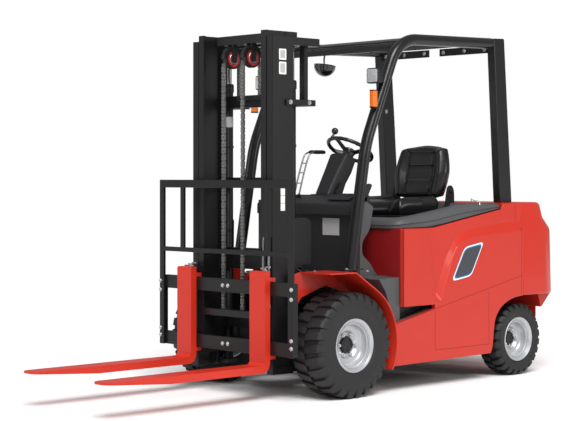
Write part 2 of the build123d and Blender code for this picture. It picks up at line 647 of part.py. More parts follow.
INNER_X1 = MAST_WIDTH / 2 - OUTER_FLANGE_W - RAIL_GAP
INNER_X0 = INNER_X1 - INNER_FLANGE_W
ROLLER_R = (MAST_DEPTH - 2 * RAIL_FLANGE_T) / 2 - 5
ROLLER_Y = MAST_FRONT_Y + MAST_DEPTH / 2


def mast_outer_rail():
    """Outer rail with its lower ear and the tilt cylinder's clevis."""
    x = MAST_WIDTH / 2
    shape = channel(x, OUTER_FLANGE_W, MAST_BOTTOM, MAST_OUTER_TOP)
    ear = [(MAST_REAR_Y - 2, TILT_PIVOT_Z - 70), (TILT_PIVOT_Y, TILT_PIVOT_Z - 44), (TILT_PIVOT_Y + 36, TILT_PIVOT_Z - 22),
           (TILT_PIVOT_Y + 36, TILT_PIVOT_Z + 22), (TILT_PIVOT_Y, TILT_PIVOT_Z + 44), (MAST_REAR_Y - 2, TILT_PIVOT_Z + 120)]
    plate = side_plate(ear, EAR_X0, EAR_X1)
    shape += plate - bar_x(TILT_PIN_R + PIN_CLEARANCE, EAR_X0 - 2, EAR_X1 + 2, TILT_PIVOT_Y, TILT_PIVOT_Z)
    return shape


def mast_outer_ties():
    """Cross members behind the outer rails."""
    half = MAST_WIDTH / 2
    y0 = MAST_REAR_Y + RAIL_GAP
    shapes = []
    for z0, z1 in OUTER_TIES:
        tie = block(-half, half, y0, y0 + TIE_T, z0, z1)
        for side in (-1, 1):
            tie += block(side * (half - OUTER_FLANGE_W), side * half, MAST_REAR_Y, y0 + 1, z0, z1)
        shapes.append(tie)
    cheek = [(y0 + 1, TILT_EYE_Z - 46), (TILT_EYE_Y, TILT_EYE_Z - 26), (TILT_EYE_Y + 24, TILT_EYE_Z),
             (TILT_EYE_Y, TILT_EYE_Z + 26), (y0 + 1, TILT_EYE_Z + 46)]
    for side in (-1, 1):
        for x0 in (TILT_CYL_X - 30, TILT_CYL_X + 20):
            shapes[1] += side_plate(cheek, side * x0, side * (x0 + 10))
        shapes[1] += bar_x(TILT_EYE_PIN_R, side * (TILT_CYL_X - 32), side * (TILT_CYL_X + 32), TILT_EYE_Y, TILT_EYE_Z)
    anchor_x = SHEAVE_X + CHAIN_W / 2 + 8
    shapes[-1] += block(-anchor_x, anchor_x, CHAIN_BACK_Y - CHAIN_T / 2 - 2, y0 + 1, CHAIN_OUTER_Z - 26, CHAIN_OUTER_Z)
    return group(*shapes)


OUTER_TIES = [(354, 440), (690, 810), (1150, 1210), (1606, 1676)]
CHAIN_OUTER_Z = 1672


def lift_barrels():
    y = LIFT_CYL_Y
    foot = block(INNER_X0 - 20, EAR_X0 - 1, MAST_REAR_Y + RAIL_GAP, y + 34, MAST_BOTTOM + 8, MAST_BOTTOM + 30)
    foot += block(EAR_X0 - 2, MAST_WIDTH / 2, MAST_REAR_Y, y + 34, MAST_BOTTOM + 8, MAST_BOTTOM + 22)
    barrel = bar_z(LIFT_CYL_D / 2, MAST_BOTTOM + 30, LIFT_GLAND_Z, LIFT_CYL_X, y)
    barrel -= bar_z(LIFT_ROD_D / 2 + PIN_CLEARANCE, MAST_BOTTOM + 60, LIFT_GLAND_Z + 1, LIFT_CYL_X, y)
    return foot + barrel


LIFT_CYL_Y = MAST_REAR_Y + RAIL_GAP + TIE_T + LIFT_CYL_D / 2 + FACE_CLEARANCE
LIFT_GLAND_Z = 1750
INNER_BEAM_Z = MAST_INNER_TOP - 70


def lift_rods():
    return bar_z(LIFT_ROD_D / 2, MAST_BOTTOM + 60 + LIFT_RESERVE + 20, INNER_BEAM_Z, LIFT_CYL_X, LIFT_CYL_Y)


def mast_inner_rail():
    """Inner rail: an I-section with the rollers that run in the outer rail."""
    web_x = INNER_X1 - 3
    shape = block(web_x - RAIL_WEB_T, web_x, MAST_FRONT_Y, MAST_REAR_Y, MAST_INNER_BOTTOM, MAST_INNER_TOP)
    for y0 in (MAST_FRONT_Y, MAST_REAR_Y - RAIL_FLANGE_T):
        shape += block(INNER_X0, INNER_X1, y0, y0 + RAIL_FLANGE_T, MAST_INNER_BOTTOM, MAST_INNER_TOP)
    shape += bar_x(ROLLER_R, web_x - 2, MAST_WIDTH / 2 - RAIL_WEB_T - 4, ROLLER_Y, MAST_INNER_BOTTOM + 80)
    return shape


def mast_inner_ties():
    """Top yoke and lower cross members of the inner mast."""
    beam_y = MAST_REAR_Y + RAIL_GAP + 1
    shape = block(-INNER_X1, INNER_X1, beam_y, LIFT_CYL_Y + 30, INNER_BEAM_Z, MAST_INNER_TOP)
    for side in (-1, 1):
        shape += block(side * INNER_X0, side * INNER_X1, MAST_REAR_Y, beam_y + 1, INNER_BEAM_Z, MAST_INNER_TOP)
    shape += block(-YOKE_HALF_W, YOKE_HALF_W, SHEAVE_Y - 20, beam_y + 1, INNER_BEAM_Z + 10, MAST_INNER_TOP - 10)
    low = block(-INNER_X0, INNER_X0, MAST_REAR_Y - TIE_T, MAST_REAR_Y, MAST_INNER_BOTTOM + 2, MAST_INNER_BOTTOM + 62)
    return group(shape, low)


YOKE_HALF_W = 190


SHEAVE_X = 80
SHEAVE_Y = -280
SHEAVE_Z = 1878
SHEAVE_R = 56
CHAIN_W = 26
CHAIN_T = 16
CHAIN_FRONT_Y = SHEAVE_Y - SHEAVE_R - CHAIN_T / 2 - 0.5
CHAIN_BACK_Y = SHEAVE_Y + SHEAVE_R + CHAIN_T / 2 + 0.5


def sheaves():
    """Chain wheels hung from the inner mast's yoke."""
    shapes = []
    for side in (-1, 1):
        wheel = bar_x(SHEAVE_R, side * SHEAVE_X - CHAIN_W / 2, side * SHEAVE_X + CHAIN_W / 2, SHEAVE_Y, SHEAVE_Z)
        for x in (side * SHEAVE_X - CHAIN_W / 2 - 10, side * SHEAVE_X + CHAIN_W / 2 + 4):
            wheel += block(x, x + 6, SHEAVE_Y - 18, SHEAVE_Y + 18, SHEAVE_Z - 18, INNER_BEAM_Z + 10)
        wheel += bar_x(10, side * SHEAVE_X - CHAIN_W / 2 - 12, side * SHEAVE_X + CHAIN_W / 2 + 12, SHEAVE_Y, SHEAVE_Z)
        wrap = bar_x(SHEAVE_R + CHAIN_T + 0.5, side * SHEAVE_X - CHAIN_W / 2, side * SHEAVE_X + CHAIN_W / 2, SHEAVE_Y, SHEAVE_Z)
        wheel += wrap & block(-200, 200, SHEAVE_Y - 200, SHEAVE_Y + 200, SHEAVE_Z + 0.3, SHEAVE_Z + 200)
        shapes.append(wheel)
    return group(*shapes)


def chain_front():
    """Front chain runs, from the wheels down to the carriage."""
    y = CHAIN_FRONT_Y
    runs = [block(s * SHEAVE_X - CHAIN_W / 2, s * SHEAVE_X + CHAIN_W / 2, y - CHAIN_T / 2, y + CHAIN_T / 2,
                  CHAIN_ANCHOR_Z, SHEAVE_Z) for s in (-1, 1)]
    return group(*runs)


def chain_back():
    """Back chain runs, from the wheels down to the outer mast's anchor."""
    y = CHAIN_BACK_Y
    runs = [block(s * SHEAVE_X - CHAIN_W / 2, s * SHEAVE_X + CHAIN_W / 2, y - CHAIN_T / 2, y + CHAIN_T / 2,
                  CHAIN_OUTER_Z, SHEAVE_Z) for s in (-1, 1)]
    return group(*runs)


CHAIN_ANCHOR_Z = 470


def carriage_bars():
    """Upper and lower fork bars."""
    half = CARRIAGE_W / 2
    y0, y1 = BAR_Y, BAR_Y + BAR_T
    low = block(-half, half, y0, y1, CARRIAGE_Z, CARRIAGE_Z + BAR_H)
    high = block(-half, half, y0, y1, CARRIAGE_Z + CARRIAGE_H - BAR_H, CARRIAGE_Z + CARRIAGE_H)
    return group(low, high)


def carriage_side():
    """Side plate with its two rollers, between the inner rails."""
    x1 = INNER_X0 - 8
    x0 = x1 - 20
    shape = block(x0, x1, BAR_Y + BAR_T, ROLLER_Y + 40, CARRIAGE_Z + 23, CARRIAGE_Z + CARRIAGE_H - 23)
    for z in (CARRIAGE_Z + 80, CARRIAGE_Z + CARRIAGE_H - 100):
        shape += bar_x(ROLLER_R, x1 + 2, INNER_X1 - 3 - RAIL_WEB_T - 4, ROLLER_Y, z)
        shape += bar_x(24, x0, x1 + 3, ROLLER_Y, z)
    return shape


def carriage_middle():
    """Chain anchor plate between the side plates."""
    x = INNER_X0 - 28
    return block(-x, x, BAR_Y + BAR_T + 1, CHAIN_FRONT_Y + 3, CHAIN_ANCHOR_Z - 36, CHAIN_ANCHOR_Z)


def backrest():
    """Load backrest frame bolted to the ends of the fork bars."""
    half = BACKREST_W / 2
    y0, y1 = BAR_Y - BACKREST_T, BAR_Y
    shape = block(-half, half, y0, y1, BACKREST_TOP - BACKREST_BAR, BACKREST_TOP)
    shape += block(-half, half, y0, y1, 785, 811)
    for side in (-1, 1):
        shape += block(side * half, side * (half - 38), y0, y1, CARRIAGE_Z, BACKREST_TOP)
        shape += block(side * half, side * (CARRIAGE_W / 2 + FACE_CLEARANCE), y1 - 1, y1 + BAR_T, CARRIAGE_Z + 4,
                       CARRIAGE_Z + CARRIAGE_H - 4)
        shape += block(side * 340, side * 372, y0, y1, 785, BACKREST_TOP - 2)
    return shape


def fork():
    """Fork: hooks over the bars, upright shank and a tapered blade."""
    x1 = FORK_SPREAD / 2
    x0 = x1 - FORK_WIDTH
    y_face = -FRONT_OVERHANG
    z0 = FORK_RAISED
    heel = 46
    profile = [(FORK_BACK_Y, z0 + FORK_SHANK_H), (y_face + 6, z0 + FORK_SHANK_H), (y_face, z0 + FORK_SHANK_H - 10),
               (y_face, z0 + FORK_THICKNESS + 14), (y_face - 14, z0 + FORK_THICKNESS),
               (FORK_TIP_Y, z0 + FORK_THICKNESS), (FORK_TIP_Y, z0 + FORK_THICKNESS - 11),
               (FORK_TIP_Y + FORK_TAPER, z0), (FORK_BACK_Y - heel, z0), (FORK_BACK_Y - heel * 0.3, z0 + heel * 0.3),
               (FORK_BACK_Y, z0 + heel)]
    shape = side_plate(profile, x0, x1)
    corners = [edge for edge in shape.edges().filter_by(Axis.Z) if edge.center().Y < FORK_TIP_Y + 1]
    shape = fillet(corners, FORK_WIDTH / 2 - 12)
    lip_y = BAR_Y + BAR_T + 0.5
    top, low = CARRIAGE_Z + CARRIAGE_H + 0.5, CARRIAGE_Z - 0.5
    for z0, z1, lip in ((top, top + 20, top - 16), (low - 20, low, low + 16)):
        shape += block(x0, x1, FORK_BACK_Y - 2, lip_y + 12, z0, z1)
        shape += block(x0, x1, lip_y, lip_y + 12, min(lip, z0), max(lip, z1))
    return shape


def tilt_direction():
    rise = TILT_BASE_Z - TILT_EYE_Z
    run = TILT_BASE_Y - TILT_EYE_Y
    length = math.hypot(run, rise)
    return (run / length, rise / length, length)


def tilt_barrel():
    """Tilt cylinder barrel with its rear eye, on a pin in the frame's bracket."""
    dy, dz, length = tilt_direction()
    base = (TILT_CYL_X, TILT_BASE_Y, TILT_BASE_Z)
    def along(distance):
        return (TILT_CYL_X, TILT_BASE_Y - dy * distance, TILT_BASE_Z - dz * distance)
    shape = bar_between(TILT_BARREL_R, along(46), along(TILT_GLAND)) + bar_between(15, along(20), along(48))
    shape += bar_x(TILT_EYE_R, TILT_CYL_X - 18, TILT_CYL_X + 18, TILT_BASE_Y, TILT_BASE_Z)
    shape -= bar_between(TILT_ROD_R + PIN_CLEARANCE, along(60), along(TILT_GLAND + 5))
    return shape - bar_x(TILT_EYE_PIN_R + PIN_CLEARANCE, TILT_CYL_X - 20, TILT_CYL_X + 20, TILT_BASE_Y, TILT_BASE_Z)


def tilt_rod():
    """Tilt cylinder rod with the eye that meets the mast's clevis."""
    dy, dz, length = tilt_direction()
    def along(distance):
        return (TILT_CYL_X, TILT_BASE_Y - dy * distance, TILT_BASE_Z - dz * distance)
    shape = bar_between(TILT_ROD_R, along(TILT_GLAND - TILT_ROD_INSIDE), along(length - 12))
    shape += bar_x(TILT_EYE_R, TILT_CYL_X - 18, TILT_CYL_X + 18, TILT_EYE_Y, TILT_EYE_Z)
    return shape - bar_x(TILT_EYE_PIN_R + TILT_EYE_PLAY, TILT_CYL_X - 20, TILT_CYL_X + 20, TILT_EYE_Y, TILT_EYE_Z)


os.makedirs("parts", exist_ok=True)


def save(name, shape):
    moved = Pos(0, SHIFT_Y, 0) * shape
    export_step(moved, f"parts/{name}.step")


def save_pair(name, shape):
    save(name + "_left", shape)
    save(name + "_right", mirrored(shape))


save_pair("front_tyre", front_tyre())
save_pair("front_rim", front_rim())
save_pair("rear_tyre", rear_tyre())
save_pair("rear_rim", rear_rim())
save_pair("knuckle", knuckle())
save_pair("fork", fork())
save("front_axle", front_axle())
save("rear_axle", rear_axle())
save("steer_rod", steer_rod())
save("frame", frame())
save("side_panels", both_sides(side_panel()))
save("fenders", both_sides(fender()))
save("footwell", footwell())
save("cowl", cowl())
save("column_cover", column_cover())
save("steering_wheel", steering_wheel())
save("battery", battery())
save("battery_front", battery_front())
save("hood", hood())
save("rear_deck", rear_deck())
save("seat_frame", seat_frame())
save("seat_cushion", seat_cushion())
save("seat_back", seat_back())
save("counterweight", counterweight())
save("tow_pin", tow_pin())
save("guard_rails", both_sides(guard_rail()))
save("guard_rear_legs", both_sides(guard_rear_legs()))
save("guard_roof", guard_roof())
save("headlamps", both_sides(headlamp()))
save("indicators", both_sides(indicator()))
save("mirror_lamp", mirror_lamp())
save("tail_lamps", both_sides(tail_lamps()))
save("levers", levers())
save("pedals", pedals())
save("mast_outer_rails", both_sides(mast_outer_rail()))
save("mast_outer_ties", mast_outer_ties())
save("lift_barrels", both_sides(lift_barrels()))
save("mast_inner_rails", both_sides(mast_inner_rail()))
save("mast_inner_ties", mast_inner_ties())
save("lift_rods", both_sides(lift_rods()))
save("sheaves", sheaves())
save("chain_front", chain_front())
save("chain_back", chain_back())
save("carriage_bars", carriage_bars())
save("carriage_sides", group(both_sides(carriage_side()), carriage_middle()))
save("backrest", backrest())
save("tilt_barrels", both_sides(tilt_barrel()))
save("tilt_rods", both_sides(tilt_rod()))
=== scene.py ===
import bpy
import bmesh
import math
from mathutils import Matrix, Vector


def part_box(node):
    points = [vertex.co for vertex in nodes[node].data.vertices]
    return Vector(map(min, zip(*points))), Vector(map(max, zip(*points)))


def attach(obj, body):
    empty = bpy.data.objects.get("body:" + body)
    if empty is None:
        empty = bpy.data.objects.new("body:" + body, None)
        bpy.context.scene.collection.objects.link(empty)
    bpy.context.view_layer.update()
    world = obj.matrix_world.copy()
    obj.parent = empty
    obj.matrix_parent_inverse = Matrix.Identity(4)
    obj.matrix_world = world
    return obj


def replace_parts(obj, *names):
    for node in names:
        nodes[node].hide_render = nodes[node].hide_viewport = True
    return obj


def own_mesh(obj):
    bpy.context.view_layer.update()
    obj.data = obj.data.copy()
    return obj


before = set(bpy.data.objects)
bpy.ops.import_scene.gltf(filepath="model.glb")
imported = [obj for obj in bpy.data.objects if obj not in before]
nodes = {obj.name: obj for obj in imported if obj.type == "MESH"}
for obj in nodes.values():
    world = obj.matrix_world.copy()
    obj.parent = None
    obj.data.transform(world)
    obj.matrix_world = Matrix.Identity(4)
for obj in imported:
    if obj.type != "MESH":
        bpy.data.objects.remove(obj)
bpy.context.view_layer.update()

# Camera, floor and light.
# The camera stands level at eye height and looks at the front left corner through a long lens.
# A white studio: a pale floor under a white dome, one high soft light and three lamps that shape the panels.
CAMERA_SPOT = (6.688, -6.486, 1.212)
CAMERA_TURN = 0.812
LENS = 101.6
PICTURE_SHIFT = -0.0589
DOME_LIGHT = 0.34
FLOOR_REACH = 30
SUN_AIM = (-4.4, 3.2, -7.0)


def linked(name, data):
    """A new object in the scene, made around a mesh, a lamp or the camera."""
    item = bpy.data.objects.new(name, data)
    bpy.context.scene.collection.objects.link(item)
    return item


def joined(tree, *links):
    """Links nodes of a tree, each link given as a node, its output, the next node and its input."""
    for source, out, target, into in links:
        tree.links.new(source.outputs[out], target.inputs[into])


camera_data = bpy.data.cameras.new("camera")
camera_data.sensor_width = 36.0
camera_data.lens = LENS
camera_data.shift_y = PICTURE_SHIFT
camera_data.clip_end = 100.0
camera = linked("camera", camera_data)
camera.location = CAMERA_SPOT
camera.rotation_euler = (math.radians(90), 0, CAMERA_TURN)
bpy.context.scene.camera = camera

world = bpy.data.worlds.new("studio")
bpy.context.scene.world = world
world.use_nodes = True
dome = world.node_tree
dome_light = dome.nodes["Background"]
dome_light.inputs["Color"].default_value = (1.0, 1.0, 1.0, 1)
dome_light.inputs["Strength"].default_value = DOME_LIGHT
backdrop = dome.nodes.new("ShaderNodeBackground")
backdrop.inputs["Color"].default_value = (1.0, 1.0, 1.0, 1)
seen = dome.nodes.new("ShaderNodeMixShader")
joined(dome, (dome.nodes.new("ShaderNodeLightPath"), "Is Camera Ray", seen, 0), (dome_light, 0, seen, 1),
       (backdrop, 0, seen, 2), (seen, 0, dome.nodes["World Output"], "Surface"))
bpy.context.scene.view_settings.view_transform = "Standard"

floor_mesh = bpy.data.meshes.new("floor")
floor_corners = [(FLOOR_REACH * x, FLOOR_REACH * y, 0) for x, y in ((-1, -1), (1, -1), (1, 1), (-1, 1))]
floor_mesh.from_pydata(floor_corners, [], [(0, 1, 2, 3)])
floor_paint = bpy.data.materials.new("floor")
floor_paint.use_nodes = True
floor_shader = floor_paint.node_tree.nodes["Principled BSDF"]
floor_shader.inputs["Base Color"].default_value = (0.97, 0.97, 0.97, 1)
floor_shader.inputs["Roughness"].default_value = 0.8
floor_mesh.materials.append(floor_paint)
linked("floor", floor_mesh)

sun = bpy.data.lights.new("sun", "SUN")
sun.energy = 3.0
sun.angle = math.radians(32)
linked("sun", sun).rotation_euler = Vector(SUN_AIM).to_track_quat("-Z", "Y").to_euler()
for name, spot, size, watts, aim in (
        ("key", (4.6, -4.2, 4.2), 2.0, 60, (0, 0, 0.8)),
        ("side", (6.0, 2.6, 2.6), 1.6, 60, (0, 0.4, 0.8)),
        ("front", (-3.2, -5.6, 3.4), 2.0, 40, (0, -0.6, 0.9))):
    lamp = bpy.data.lights.new(name, "AREA")
    lamp.energy = watts
    lamp.size = size
    lamp_object = linked(name, lamp)
    lamp_object.location = spot
    lamp_object.rotation_euler = (Vector(aim) - Vector(spot)).to_track_quat("-Z", "Y").to_euler()


# Body sides.
# Two moulded steel panels, painted red: an upper zone set in behind a raised lower one, a swept band between.
# Each is a thick plate with the raised zone lofted onto it, seams drawn in painted shade and a badge plate
# left blank.
FRONT_AXLE_Y = -187
BODY_X = 590
INSET_X = 572
PANEL_BACK_X = 560
SEAM_Y = 1507
SEAM_HALF_W = 1.3
BADGE_SPAN = 125
BADGE_BEND = 34


def place(x, y, z):
    """A point in metres in the frame, from millimetres counted from the front axle and the floor."""
    return Vector((x / 1000, (y + FRONT_AXLE_Y) / 1000, z / 1000))


def finish_of(name, colour, roughness, metallic=0.0, grain=0.0, grain_size=300.0, mottle=0.06, coat=0.0,
              gloss=0.5):
    """A finish with a little mottling of its colour and roughness, and a fine grain in its surface."""
    material = bpy.data.materials.new(name)
    material.use_nodes = True
    tree = material.node_tree
    shader = tree.nodes["Principled BSDF"]
    where = tree.nodes.new("ShaderNodeTexCoord")
    noise = tree.nodes.new("ShaderNodeTexNoise")
    noise.inputs["Scale"].default_value = 4.0
    noise.inputs["Detail"].default_value = 5.0
    shade = tree.nodes.new("ShaderNodeMix")
    shade.data_type = "RGBA"
    shade.inputs[6].default_value = (*[c * (1 - mottle) for c in colour], 1)
    shade.inputs[7].default_value = (*[min(1.0, c * (1 + mottle)) for c in colour], 1)
    rough = tree.nodes.new("ShaderNodeMapRange")
    rough.inputs["To Min"].default_value = max(0.02, roughness - 0.05)
    rough.inputs["To Max"].default_value = min(1.0, roughness + 0.05)
    joined(tree, (where, "Object", noise, "Vector"), (noise, "Fac", shade, 0), (noise, "Fac", rough, "Value"),
           (shade, 2, shader, "Base Color"), (rough, "Result", shader, "Roughness"))
    for socket, value in (("Metallic", metallic), ("Coat Weight", coat), ("Specular IOR Level", gloss)):
        shader.inputs[socket].default_value = value
    if grain > 0:
        fine = tree.nodes.new("ShaderNodeTexNoise")
        fine.inputs["Scale"].default_value = grain_size
        fine.inputs["Detail"].default_value = 2.0
        bump = tree.nodes.new("ShaderNodeBump")
        bump.inputs["Strength"].default_value = grain
        bump.inputs["Distance"].default_value = 0.001
        joined(tree, (where, "Object", fine, "Vector"), (fine, "Fac", bump, "Height"),
               (bump, "Normal", shader, "Normal"))
    return material


def skin(work, rows):
    """Faces between rows of vertices in turn; a row of one vertex is a pole."""
    for low, high in zip(rows, rows[1:]):
        count = max(len(low), len(high))
        for i in range(count if count > 1 else 0):
            j = (i + 1) % count
            corners = (low[i % len(low)], low[j % len(low)], high[j % len(high)], high[i % len(high)])
            work.faces.new(list(dict.fromkeys(corners)))


def add_loft(work, rings, closed=False):
    """Skins equally long rings of points; the last joins the first where closed, or both ends are capped."""
    rows = [[work.verts.new(point) for point in ring] for ring in rings]
    skin(work, [*rows, rows[0]] if closed else rows)
    if not closed:
        work.faces.new(list(reversed(rows[0])))
        work.faces.new(rows[-1])


def add_plate(work, outline, x0, x1):
    """A plate with a Y-Z outline, from x0 to x1."""
    add_loft(work, [[place(x, y, z) for y, z in outline] for x in (x0, x1)])


def flowing(points, steps=6):
    """Points along a smooth curve through the given ones."""
    ends = [points[0], *points, points[-1]]
    out = []
    for a, b, c, d in zip(ends, ends[1:], ends[2:], ends[3:]):
        for k in range(steps):
            t = k / steps
            out.append(tuple(0.5 * (2 * q + (r - p) * t + (2 * p - 5 * q + 4 * r - s) * t * t
                                    + (3 * q - p - 3 * r + s) * t ** 3) for p, q, r, s in zip(a, b, c, d)))
    return [*out, tuple(points[-1])]


def rounded(corners, radius, steps=5):
    """A closed outline with smooth bends for corners; radius may be a list, one for each corner."""
    out = []
    count = len(corners)
    for i, corner in enumerate(corners):
        reach = radius[i] if isinstance(radius, (list, tuple)) else radius
        here = Vector(corner)
        back, ahead = Vector(corners[i - 1]) - here, Vector(corners[(i + 1) % count]) - here
        reach = min(reach, back.length * 0.49, ahead.length * 0.49)
        if reach < 0.5:
            out.append(tuple(here))
            continue
        start, end = here + back.normalized() * reach, here + ahead.normalized() * reach
        for k in range(steps + 1):
            t = k / steps
            out.append(tuple(start * (1 - t) ** 2 + here * 2 * t * (1 - t) + end * t * t))
    return out


def add_block(work, x0, x1, y0, y1, z0, z1, radius=0, steps=2):
    """A block; with a radius, the corners of its Y-Z outline are round."""
    add_plate(work, rounded([(y0, z0), (y1, z0), (y1, z1), (y0, z1)], radius, steps), x0, x1)


def mirrored(work):
    """Adds the right side's copy of all that is in the work."""
    copy = bmesh.ops.duplicate(work, geom=[*work.verts, *work.edges, *work.faces])["geom"]
    verts = [item for item in copy if isinstance(item, bmesh.types.BMVert)]
    bmesh.ops.scale(work, vec=(-1, 1, 1), verts=verts)


def mesh_of(name, work):
    """Turns the work into a mesh with outward faces."""
    bmesh.ops.recalc_face_normals(work, faces=work.faces)
    mesh = bpy.data.meshes.new(name)
    work.to_mesh(mesh)
    work.free()
    return mesh


def softened(piece, width, angle, segments=2):
    """Rounds a piece's edges that are sharper than the angle; the width is in metres."""
    bevel = piece.modifiers.new("edge", "BEVEL")
    bevel.width = width
    bevel.segments = segments
    bevel.limit_method = "ANGLE"
    bevel.angle_limit = math.radians(angle)
    bevel.use_clamp_overlap = True


def finished(name, work, look, body, edge=0.0, sharp=35, segments=2):
    """Turns the work into a piece that rides on a body; edge is the round on its edges, in metres."""
    mesh = mesh_of(name, work)
    mesh.materials.append(look)
    for face in mesh.polygons:
        face.use_smooth = True
    mesh.set_sharp_from_angle(angle=math.radians(sharp))
    piece = linked(name, mesh)
    if edge:
        softened(piece, edge, 38, segments)
    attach(piece, body)
    return piece


def painted(look, *names, edge=0.002):
    """Gives CAD nodes their finish, joins their vertices and rounds their sharp edges a little."""
    for name in names:
        node = nodes[name]
        node.data.materials.clear()
        node.data.materials.append(look)
        weld = node.modifiers.new("weld", "WELD")
        weld.merge_threshold = 0.00005
        softened(node, edge, 40)


red = finish_of("red_paint", (0.50, 0.026, 0.013), 0.30, grain=0.04, grain_size=900, coat=0.12, gloss=0.3)
# The seam strips' dark red is painted shade: the panels' red darkened to stand in for the shade in the seams.
seam_painted_shade = finish_of("seam_shadow", (0.16, 0.006, 0.004), 0.7)
hood_line = [(422, 918), (700, 920), (1318, 1018)]
arch_line = flowing([(1192, 158), (1212, 200), (1231, 338), (1262, 396), (1300, 432), (1360, 462),
                     (1425, 480), (SEAM_Y, 489)], 3)
step_line = [(422, 477), (690, 477), (690, 454), (359, 386), (345, 148)]
work = bmesh.new()
add_plate(work, [*step_line, *arch_line, (SEAM_Y, 1056), (1334, 1048), *reversed(hood_line[1:]), (422, 918)],
          PANEL_BACK_X, INSET_X)
band_top = flowing([(SEAM_Y, 890), (1250, 878), (1000, 858), (908, 822), (862, 772), (812, 665), (736, 498)])
band_foot = flowing([(SEAM_Y, 951), (1250, 930), (1006, 901), (908, 862), (848, 806), (790, 720), (708, 530)])
notch_top = flowing([(688, 498), (668, 666), (650, 811), (630, 914)])
notch_foot = flowing([(694, 530), (680, 666), (662, 811), (642, 914)])
rings = []
for x, band, notch in ((INSET_X - 0.5, band_foot, notch_foot), (BODY_X - 4, band_top, notch_top),
                       (BODY_X, [(y, z - 4) for y, z in band_top], notch_top)):
    rings.append([place(x, y, z) for y, z in [*band, *notch, (422, 917), *step_line, *arch_line]])
add_loft(work, rings)
mirrored(work)
body_sides = finished("body_sides", work, red, "chassis", edge=0.003, sharp=28)
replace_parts(body_sides, "side_panels")

# Thin strips of painted shade along the panels' seams and creases, standing just proud of the panel face.
work = bmesh.new()
for start, end in (((690, 214), (690, 448)), ((690, 214), (1187, 214)), ((1175, 214), (1175, 537)),
                   ((1490, 492), (1490, 899)), ((1490, 899), (1450, 950)), ((1450, 950), (1450, 1046)),
                   ((360, 387), (1502, 612)), ((422, 477), (422, 917))):
    start, end = Vector(start), Vector(end)
    run = end - start
    across = Vector((-run.y, run.x)).normalized() * SEAM_HALF_W
    strip = [tuple(point) for point in (start - across, end - across, end + across, start + across)]
    shown = INSET_X if start.y > 880 and start.x > 1400 else BODY_X
    add_plate(work, strip, shown - 1, shown + 0.35)
mirrored(work)
finished("body_seams", work, seam_painted_shade, "chassis")

white_plate = finish_of("white_plate", (0.82, 0.82, 0.80), 0.4)
badge_dark = finish_of("badge_dark", (0.035, 0.042, 0.05), 0.35)
badge_blue = finish_of("badge_blue", (0.02, 0.17, 0.45), 0.35)
badge = [Vector(corner) for corner in ((835, 604), (1010, 628), (1128, 828), (952, 800))]
badge_middle = sum(badge, Vector((0, 0))) / len(badge)
for name, shrink, lift, look in (("badge_border", 0, 1.5, white_plate), ("badge_line", 11, 2.2, badge_blue),
                                 ("badge_plate", 20, 3.0, badge_dark)):
    corners = [tuple(badge_middle + (corner - badge_middle) * (1 - shrink / BADGE_SPAN)) for corner in badge]
    work = bmesh.new()
    add_plate(work, rounded(corners, BADGE_BEND), BODY_X - 1, BODY_X + lift)
    mirrored(work)
    finished(name, work, look, "chassis")

# Counterweight, rear deck and tow pin.
# The rear is one heavy casting with rounded corners and a sloping shoulder, painted as the panels are.
# It is lofted from plans at eight heights, with open wheel arches below and a pocket for the tow pin.
REAR_Y = 1890
ARCH_TOP = 489
WEIGHT_TOP = 1056
WEIGHT_BEND = 190
POCKET_HALF_W = 60
POCKET_LOW, POCKET_TOP = 330, 420


def weight_plan(z, half, rear):
    outline = [(half, 1510), (half, rear), (-half, rear), (-half, 1510)]
    return [place(x, y, z) for x, y in rounded(outline, [0, WEIGHT_BEND, WEIGHT_BEND, 0], 10)]


work = bmesh.new()
add_loft(work, [weight_plan(*row) for row in (
    (ARCH_TOP, BODY_X - 4, REAR_Y - 4), (ARCH_TOP + 6, BODY_X, REAR_Y), (878, BODY_X - 6, REAR_Y - 10),
    (896, BODY_X - 9, REAR_Y - 16), (960, INSET_X, REAR_Y - 90), (1040, INSET_X - 9, REAR_Y - 118),
    (WEIGHT_TOP - 4, INSET_X - 16, REAR_Y - 128), (WEIGHT_TOP, INSET_X - 22, REAR_Y - 134))])
low_plan = [(350, 1828), (-350, 1828), (-420, 1850), (-400, 1872), (-300, REAR_Y),
            (300, REAR_Y), (400, 1872), (420, 1850)]
pocket = [(-POCKET_HALF_W, REAR_Y), (-POCKET_HALF_W, 1800), (POCKET_HALF_W, 1800), (POCKET_HALF_W, REAR_Y)]
for outline, z0, z1 in ((rounded(low_plan, 18), 170, POCKET_LOW),
                        ([*low_plan[:5], *pocket, *low_plan[5:]], POCKET_LOW, POCKET_TOP),
                        (rounded(low_plan, 18), POCKET_TOP, ARCH_TOP + 1)):
    add_loft(work, [[place(x, y, z) for x, y in outline] for z in (z0, z1)])
add_block(work, -120, 120, 1568, 1830, 200, ARCH_TOP + 1)
add_plate(work, [(1730, ARCH_TOP + 1), (REAR_Y - 30, ARCH_TOP + 1), (1768, 402), (1757, 402)], -530, 530)
weight = finished("counterweight_casting", work, red, "chassis", edge=0.004, sharp=24)
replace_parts(weight, "counterweight")
painted(red, "rear_deck")
steel = finish_of("steel", (0.30, 0.30, 0.31), 0.35, metallic=1.0, grain=0.1)
painted(steel, "tow_pin")

